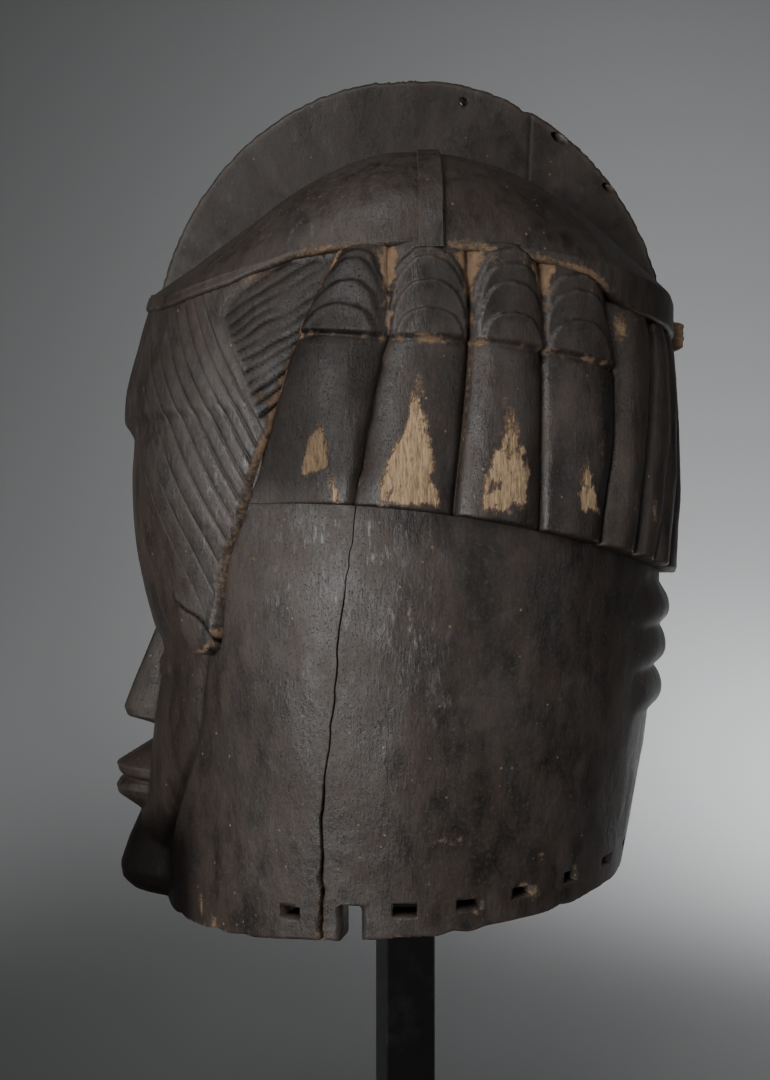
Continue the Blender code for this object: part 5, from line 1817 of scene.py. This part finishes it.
@dataclass
class CrownStrap:
    """Low strap over the crown from one side to the other, swept along its path by geometry nodes."""

    plan: HeadPlan
    offset: float = 8.5
    width: float = 10.5
    relief: float = 2.4
    hang: float = 3.0
    corner: float = 0.0007
    long_edge: float = 0.004
    steps: int = 90

    def path(self) -> Thing:
        """Line over the dome that the strap follows."""
        plan = self.plan
        points = []
        for i in range(self.steps + 1):
            share = 1 - abs(2 * i / self.steps - 1)
            up = 0.9995 * eased_share(share, 1)
            sign = 90.0 if i <= self.steps / 2 else -90.0
            low = float(plan.base_height(sign)) - self.hang * (1 - up) ** 8
            _, y = plan.dome(np.array(sign), up, 0.0, np.array(plan.band_lip - 0.8))[:2]
            height = low + (plan.crown_top - 1.5 - low) * up
            points.append((self.offset * plan.unit, float(y), plan.rim_level + height * plan.unit))
        curve = bpy.data.curves.new("strap_path", "CURVE")
        curve.dimensions = "3D"
        spline = curve.splines.new("POLY")
        spline.points.add(len(points) - 1)
        for point, spot in zip(spline.points, points):
            point.co = (*spot, 1.0)
        return added("crown_strap", curve)

    def tree(self, finish: Finish) -> Tree:
        """Node tree that sweeps a flat bar along a curve."""
        graph = Graph("bar_along_path", "Width", "Thickness")
        sizes = {"Width": graph.inputs["Width"], "Height": graph.inputs["Thickness"]}
        section = graph.node("CurvePrimitiveQuadrilateral", sizes)["Curve"]
        eased = graph.node("FilletCurve", {"Curve": section, "Radius": self.corner})["Curve"]
        path = graph.inputs["Geometry"]
        bar = graph.node("CurveToMesh", {"Curve": path, "Profile Curve": eased, "Fill Caps": True})["Mesh"]
        return graph.ended(bar, finish)

    def build(self, finish: Finish) -> Thing:
        """Builds the strap."""
        strap = self.path()
        unit = self.plan.unit
        grow(strap, self.tree(finish), Width=self.width * unit, Thickness=2 * self.relief * unit)
        graph = bpy.context.evaluated_depsgraph_get()
        mesh = bpy.data.meshes.new_from_object(strap.evaluated_get(graph))
        bpy.data.objects.remove(strap)
        shape = bmesh.new()
        shape.from_mesh(mesh)
        bmesh.ops.remove_doubles(shape, verts=shape.verts, dist=0.00001)
        long = [edge for edge in shape.edges if edge.calc_length() > self.long_edge]
        bmesh.ops.subdivide_edges(shape, edges=long, cuts=5, use_grid_fill=True)
        bmesh.ops.recalc_face_normals(shape, faces=shape.faces)
        shape.to_mesh(mesh)
        shape.free()
        piece = added("crown_strap", mesh)
        hide_edges(piece, 40.0)
        return piece

    def dress(self, piece: Thing, finish: Finish) -> None:
        """Marks the strap's worn edges, and gives it its finish."""
        points = mesh_points(piece)
        across = np.abs(points[:, 0] / self.plan.unit - self.offset) / (self.width / 2)
        wear = 0.3 + 0.5 * rising(across, 0.6, 0.4)
        mark(piece, dust=0.3 * rising(across, 0.8, 0.2), wear=wear, scuff=0.15, brown=0.25)
        put(piece, Slot.DARK_WOOD, finish, MASK_NODE)


@dataclass
class Crest:
    """Upright plate along the crown, rounded at its edge and thicker at its root."""

    plan: HeadPlan
    middle: float = 265.5
    half_length: float = 131.0
    offset: float = 3.0
    edge_thickness: float = 8.0
    root_thickness: float = 24.0
    edge_round: float = 2.6
    sink: float = 6.0
    first_turn: float = 7.0
    columns: int = 420
    rows: int = 46
    holes: Table = (
        (28.6, 398.5, 2.3, 1, 18), (73, 382.5, 2.2, 1.6, 42), (98.5, 357, 2, 1.5, 42),
    )
    crack_x: float = 63.0

    def outline(self, turn: Array) -> tuple[Array, Array]:
        """Outer edge of the plate in a direction, as X and height."""
        x = self.offset - self.half_length * np.cos(turn)
        return x, self.middle + (MASK_UNITS - self.middle) * np.sin(turn)

    def radius(self, x: Array, height: Array) -> Array:
        """How far out on the plate each place lies, up to 1 at its edge."""
        up = (height - self.middle) / (MASK_UNITS - self.middle)
        return np.hypot((x - self.offset) / self.half_length, up)

    def root(self, turn: Array) -> tuple[Array, Array]:
        """Line in the crown's wall that the plate grows from, as X and height."""
        plan = self.plan
        x_out, h_out = self.outline(turn)
        low = plan.hair_top - 8.0
        x = np.clip(x_out * 0.86, -112.0, 117.0)
        half = np.where(x < 0, 120.0, 126.0)
        rise = np.where(x < 0, plan.dome_profiles[0][0], plan.dome_profiles[1][0])
        run = np.where(x < 0, plan.dome_profiles[0][1], plan.dome_profiles[1][1])
        share = np.maximum(0.0, 1 - np.abs(x / half) ** run) ** (1 / rise)
        height = plan.hair_top + (plan.crown_top - plan.hair_top) * share - self.sink
        return x, np.maximum(np.minimum(height, h_out - 2.0), low)

    def build(self) -> Thing:
        """Builds the plate and cuts its holes."""
        plan = self.plan
        turn = np.radians(np.linspace(self.first_turn, 180 - self.first_turn, self.columns))
        x1, h1 = self.outline(turn)
        x0, h0 = self.root(turn)
        nick = LatticeNoise(91, 360, 9.0)
        course, level = np.degrees(turn), 0 * turn
        dent = 0.35 * nick(course, level) + 0.5 * np.maximum(0, nick(course * 2.3, level + 30) - 0.5)
        chip = 1.6 * bell((course - 88.0) / 5.5) * (0.6 + 0.4 * nick(course * 3, level + 60))
        chip += 1.4 * bell((course - 116.0) / 1.2)
        loss = np.clip(dent + chip, -0.3, 3.0)
        reach = np.hypot(x1 - self.offset, h1 - self.middle)
        x1 = x1 - (x1 - self.offset) / reach * loss
        h1 = h1 - (h1 - self.middle) / reach * loss
        share = np.concatenate([np.linspace(0, 0.93, self.rows - 10), 0.93 + 0.07 * np.linspace(0.12, 1, 10)])
        x = x0[None, :] + (x1 - x0)[None, :] * share[:, None]
        h = h0[None, :] + (h1 - h0)[None, :] * share[:, None]
        radius = np.clip(self.radius(x, h), 0, 1)
        half = self.edge_thickness / 2 + (self.root_thickness - self.edge_thickness) / 2 * (1 - radius)
        to_edge = np.hypot(x - x1[None, :], h - h1[None, :])
        part = np.clip(to_edge / self.edge_round, 0, 1)
        rounding = self.edge_round * (1 - np.sqrt(np.maximum(0, 1 - (1 - part) ** 2)))
        angle = np.degrees(turn)[None, :] + 0 * x
        sheets = []
        for sign, seed in ((-1, 92), (1, 97)):
            marks = 0.18 * (ToolMarks(seed, 34, 24.0)(angle * 2, h) - 0.4)
            marks = marks + 0.22 * LatticeNoise(seed + 1, 22, 40.0)(angle * 2, h)
            groove = 0.45 * bell((x - self.crack_x - 0.05 * (h - 380)) / 0.7) * (h > 350)
            y = sign * np.maximum(half + marks * np.clip(to_edge / 5, 0, 1) - rounding - groove, 0.6)
            sheets.append(plan.metres(x, y, h))
        rows, count = x.shape
        points = np.concatenate([sheet.reshape(-1, 3) for sheet in sheets])
        faces = grid_faces(rows, count) + grid_faces(rows, count, rows * count)
        other = rows * count
        for c in range(count - 1):
            faces.append((c, c + 1, other + c + 1, other + c))
            last = (rows - 1) * count + c
            faces.append((last, last + 1, other + last + 1, other + last))
        for r in range(rows - 1):
            for c in (0, count - 1):
                a, b = r * count + c, (r + 1) * count + c
                faces.append((a, b, other + b, other + a))
        piece = mesh_piece("crest", points, faces)
        cut_out(piece, self.hole_cutter())
        return piece

    def hole_cutter(self) -> Thing:
        """Rods that cut the small holes near the edge."""
        shape = bmesh.new()
        for x, height, radius, stretch, slant in self.holes:
            made = bmesh.ops.create_cone(
                shape, cap_ends=True, segments=14, radius1=radius, radius2=radius, depth=60.0
            )
            spot = Matrix.Translation((x, 0.0, height)) @ Matrix.Rotation(math.radians(28), 4, "Y")
            size = Matrix.Diagonal((stretch, 1.0, 1.0, 1.0))
            lay = Matrix.Rotation(math.radians(slant), 4, "Z") @ Matrix.Rotation(math.pi / 2, 4, "X")
            bmesh.ops.transform(shape, matrix=spot @ size @ lay, verts=made["verts"])
        unit = Matrix.Translation((0, 0, self.plan.rim_level)) @ Matrix.Scale(self.plan.unit, 4)
        bmesh.ops.transform(shape, matrix=unit, verts=shape.verts)
        mesh = bpy.data.meshes.new("crest_holes")
        shape.to_mesh(mesh)
        shape.free()
        return added("crest_holes", mesh)

    def dress(self, piece: Thing, finish: Finish) -> None:
        """Marks the plate's worn edge, painted shade in its crack and over the plate, and dust along its edge
        and in its crack.
        """
        plan = self.plan
        points = mesh_points(piece)
        x, height = points[:, 0] / plan.unit, (points[:, 2] - plan.rim_level) / plan.unit
        radius = self.radius(x, height)
        angle = np.degrees(np.arctan2(height - self.middle, self.offset - x))
        blotch = LatticeNoise(94, 60, 22.0)(angle * 2, height)
        edge = rising(radius, 0.965, 0.03)
        crack = bell((x - self.crack_x - 0.05 * (height - 380)) / 0.8) * (height > 352)
        # painted shade in the crack and over the plate inside its edge, and pale scratches that are partly a
        # painted highlight
        mark(
            piece, dust=0.35 * edge * np.clip(blotch, 0, 1) + 0.3 * crack,
            wear=0.6 * edge + 0.2 + 0.3 * blotch, deep=0.22 * crack + (0.36 - 0.06 * blotch) * (1 - edge),
            scuff=0.2 * np.clip(blotch, 0, 1), brown=0.45 * edge + 0.25,
        )
        put(piece, Slot.DARK_WOOD, finish, MASK_NODE)


@dataclass
class Pegs:
    """The two pegs in the band, split from wood with a blade."""

    back_node: str = "back_peg"
    front_node: str = "front_peg"

    def split_bar(self, name: str, node: str, seed: int, sides: int, end_x: float) -> Thing:
        """Bar of split wood in a node's box, its shown end rough and eased.

        Args:
            name: Name of the piece.
            node: Node that it stands for.
            seed: Seed of its splinters.
            sides: Flat sides that it has.
            end_x: Sign of the direction that its shown end looks to.

        Returns:
            The piece.
        """
        low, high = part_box(node)
        middle, half = (low + high) / 2, (high - low) / 2
        around, along = 48, 40
        draw = np.random.default_rng(seed)
        ridges = draw.normal(0, 1, around)
        turn = np.linspace(0, 2 * np.pi, around, endpoint=False)
        corner = np.pi / sides
        flat = np.cos(corner) / np.cos((turn + corner) % (2 * corner) - corner)
        if sides > 8:
            flat = np.ones(around)
        radius = flat / np.cos(corner) if sides == 4 else flat
        radius = np.minimum(radius, 1.28)
        rings = []
        for i in range(along + 1):
            share = i / along
            ease = 1 - 0.10 * rising(share, 0.86, 0.14) - 0.06 * max(0.0, share - 0.97) / 0.03
            wear = 1 - 0.012 * (ridges + 1.5) * (0.5 + share)
            x = middle.x + end_x * half.x * (2 * share - 1)
            jag = end_x * half.x * 0.05 * draw.normal(0, 1, around) * (share > 0.99)
            y = middle.y + half.y * radius * wear * ease * np.cos(turn)
            z = middle.z + half.z * radius * wear * ease * np.sin(turn)
            y = np.clip(y, low.y + 0.0001, high.y - 0.0001)
            z = np.clip(z, low.z + 0.0001, high.z - 0.0001)
            rings.append(np.stack([np.clip(x - np.abs(jag) * end_x, low.x, high.x), y, z], -1))
        for share in (0.7, 0.35):
            ring = rings[along].copy()
            ring[:, 1] = middle.y + (ring[:, 1] - middle.y) * share
            ring[:, 2] = middle.z + (ring[:, 2] - middle.z) * share
            ring[:, 0] = middle.x + end_x * half.x * (0.97 + 0.02 * draw.normal(0, 1, around).clip(-1, 1))
            rings.append(ring)
        grid = np.stack(rings)
        faces = grid_faces(len(rings), around, 0, True)
        reach = end_x * half.x
        ends = [[middle.x - reach, middle.y, middle.z], [middle.x + 0.97 * reach, middle.y, middle.z]]
        first, last = len(rings) * around, len(rings) * around + 1
        faces += fan(0, around, first) + fan((len(rings) - 1) * around, around, last)
        piece = mesh_piece(name, np.concatenate([grid.reshape(-1, 3), ends]), faces)
        hide_edges(piece, 38.0)
        return piece

    def build(self, pale: Finish, dark: Finish) -> None:
        """Builds both pegs and dresses them."""
        back = self.split_bar("back_peg_split", self.back_node, 101, 4, 1.0)
        low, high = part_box(self.back_node)
        shown = (2 * mesh_points(back)[:, 0] - low.x - high.x) / (high.x - low.x)
        mark(back, bare=rising(shown, 0.55, 0.4))
        put(back, Slot.PEG_WOOD, pale, self.back_node)
        front = self.split_bar("front_peg_split", self.front_node, 102, 12, -1.0)
        mark(front)
        put(front, Slot.DARK_WOOD, dark, self.front_node)


@dataclass
class Stand:
    """Post, foot and support block that carry the mask."""

    painted: tuple[str, ...] = ("stand_post", "stand_foot")
    padded: str = "support_block"

    def dress(self, black: Finish, felt: Finish) -> None:
        """Gives the stand's own solids their finishes."""
        for name in self.painted:
            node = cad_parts[name]
            node.data.materials.clear()
            node.data.materials.append(black)
        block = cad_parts[self.padded]
        block.data.materials.clear()
        block.data.materials.append(felt)
        LOG.info("stand: %s", ", ".join((*self.painted, self.padded)))


@dataclass
class Studio:
    """Floor, backdrop, lights and camera."""

    camera_place: Point = (-0.0102, -0.55, 0.372)
    focal_share: float = 1078.0 / 1080.0
    sensor: float = 36.0
    sweep_y: float = 1.6
    sweep_radius: float = 1.4
    half_width: float = 4.0
    wall_top: float = 3.6
    soft_lights: tuple[tuple, ...] = (
        ("key", (-0.86, -1.55, 0.30), (0.0, 0.0, 0.36), (0.6, 0.5), 23.0, (1.0, 0.985, 0.96)),
        ("high", (-0.45, -1.15, 1.55), (0.0, 0.0, 0.45), (0.7, 0.5), 8.5, (1.0, 0.985, 0.96)),
        ("fill", (1.5, -1.6, 0.7), (0.0, 0.0, 0.35), (1.0, 1.2), 6.8, (1.0, 0.98, 0.96)),
        ("side", (-1.5, -0.55, 0.55), (0.0, 0.0, 0.35), (0.7, 0.9), 4.5, (1.0, 0.985, 0.96)),
    )
    spot_lights: tuple[tuple, ...] = (
        ("pool", (0.64, 0.1, 0.50), (0.64, 1.5, 0.40), 138.0, 300.0),
        ("pool_left", (-0.70, 0.1, 0.50), (-0.70, 1.5, 0.38), 138.0, 36.0),
        ("floor", (0.78, 0.30, 0.80), (0.38, 0.52, 0.0), 90.0, 60.0),
    )
    sky: tuple[float, ...] = (0.9, 0.95, 1.0, 1.0)
    sky_strength: float = 0.06

    def backdrop(self, finish: Finish) -> None:
        """Paper that runs from the floor up the wall in one bend."""
        profile = [(-3.0, 0.0), (self.sweep_y - self.sweep_radius, 0.0)]
        for i in range(1, 25):
            turn = math.pi / 2 * i / 24
            y = self.sweep_y - self.sweep_radius + self.sweep_radius * math.sin(turn)
            profile.append((y, self.sweep_radius * (1 - math.cos(turn))))
        profile.append((self.sweep_y, self.wall_top))
        points = [(x, y, z) for y, z in profile for x in (-self.half_width, self.half_width)]
        mesh = bpy.data.meshes.new("backdrop")
        faces = [(i, i + 1, i + 3, i + 2) for i in range(0, len(points) - 2, 2)]
        mesh.from_pydata(points, [], faces)
        mesh.shade_smooth()
        mesh.materials.append(finish)
        added("backdrop", mesh)

    def lamp(self, name: str, kind: str, place: Point, aim: Point, power: float) -> bpy.types.Light:
        """Adds a light.

        Args:
            name: Name of the light.
            kind: Kind of light.
            place: Where it hangs.
            aim: Point that it looks at.
            power: Its power, in watts.

        Returns:
            The light's data, for what else has to be set.
        """
        data = bpy.data.lights.new(name, kind)
        data.energy = power
        lamp = added(name, data)
        lamp.location = place
        lamp.rotation_euler = (Vector(aim) - Vector(place)).to_track_quat("-Z", "Y").to_euler()
        return data

    def build(self, finish: Finish) -> None:
        """Sets up the whole studio."""
        self.backdrop(finish)
        for name, place, aim, size, power, colour in self.soft_lights:
            data = self.lamp(name, "AREA", place, aim, power)
            data.shape = "RECTANGLE"
            data.size, data.size_y = size
            data.color = colour
        for name, place, aim, cone, power in self.spot_lights:
            data = self.lamp(name, "SPOT", place, aim, power)
            data.spot_size = math.radians(cone)
            data.spot_blend = 1.0
            data.shadow_soft_size = 0.1
        world = bpy.data.worlds.new("studio")
        world.use_nodes = True
        sky = world.node_tree.nodes["Background"].inputs
        sky["Color"].default_value = self.sky
        sky["Strength"].default_value = self.sky_strength
        bpy.context.scene.world = world
        data = bpy.data.cameras.new("camera")
        data.sensor_fit = "VERTICAL"
        data.sensor_height = self.sensor
        data.lens = self.sensor * self.focal_share
        data.clip_start = 0.01
        camera = added("camera", data)
        camera.location = self.camera_place
        camera.rotation_euler = (math.pi / 2, 0.0, 0.0)
        bpy.context.scene.camera = camera


def main() -> None:
    """Builds and dresses every piece."""
    logging.basicConfig(level=logging.INFO, format="%(name)s: %(message)s")
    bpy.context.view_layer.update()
    low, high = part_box(MASK_NODE)
    plan = HeadPlan(unit=(high.z - low.z) / MASK_UNITS, rim_level=low.z)
    wood = DarkWood().build()
    crack = Crack()
    body = CarvedBody(plan, crack)
    body.dress(body.build(), wood)
    near = TempleHair(plan, Side.NEAR)
    near.dress(near.build(), wood)
    far = TempleHair(plan, Side.FAR)
    far.dress(far.build(), wood)
    rolls = HairRolls(plan, near, crack)
    rolls.dress(rolls.build(), wood)
    crown = Crown(plan, near)
    crown.dress(crown.build(), wood)
    strap = CrownStrap(plan)
    strap.dress(strap.build(wood), wood)
    crest = Crest(plan)
    # the crest's wood: darker colours than the mask's, partly the plate's own darker tone and partly painted
    # shade
    crest.dress(crest.build(), DarkWood(
        brown=(0.022, 0.0168, 0.0145), red_brown=(0.034, 0.0225, 0.018), grey=(0.040, 0.036, 0.0345),
        stretch=0.9, relief=0.55,
    ).build("crest_wood"))
    Pegs().build(PaleWood().build(), wood)
    Stand().dress(SatinBlack().build(), DarkFelt().build())
    Studio().build(StudioPaper().build())


if __name__ == "__main__":
    main()
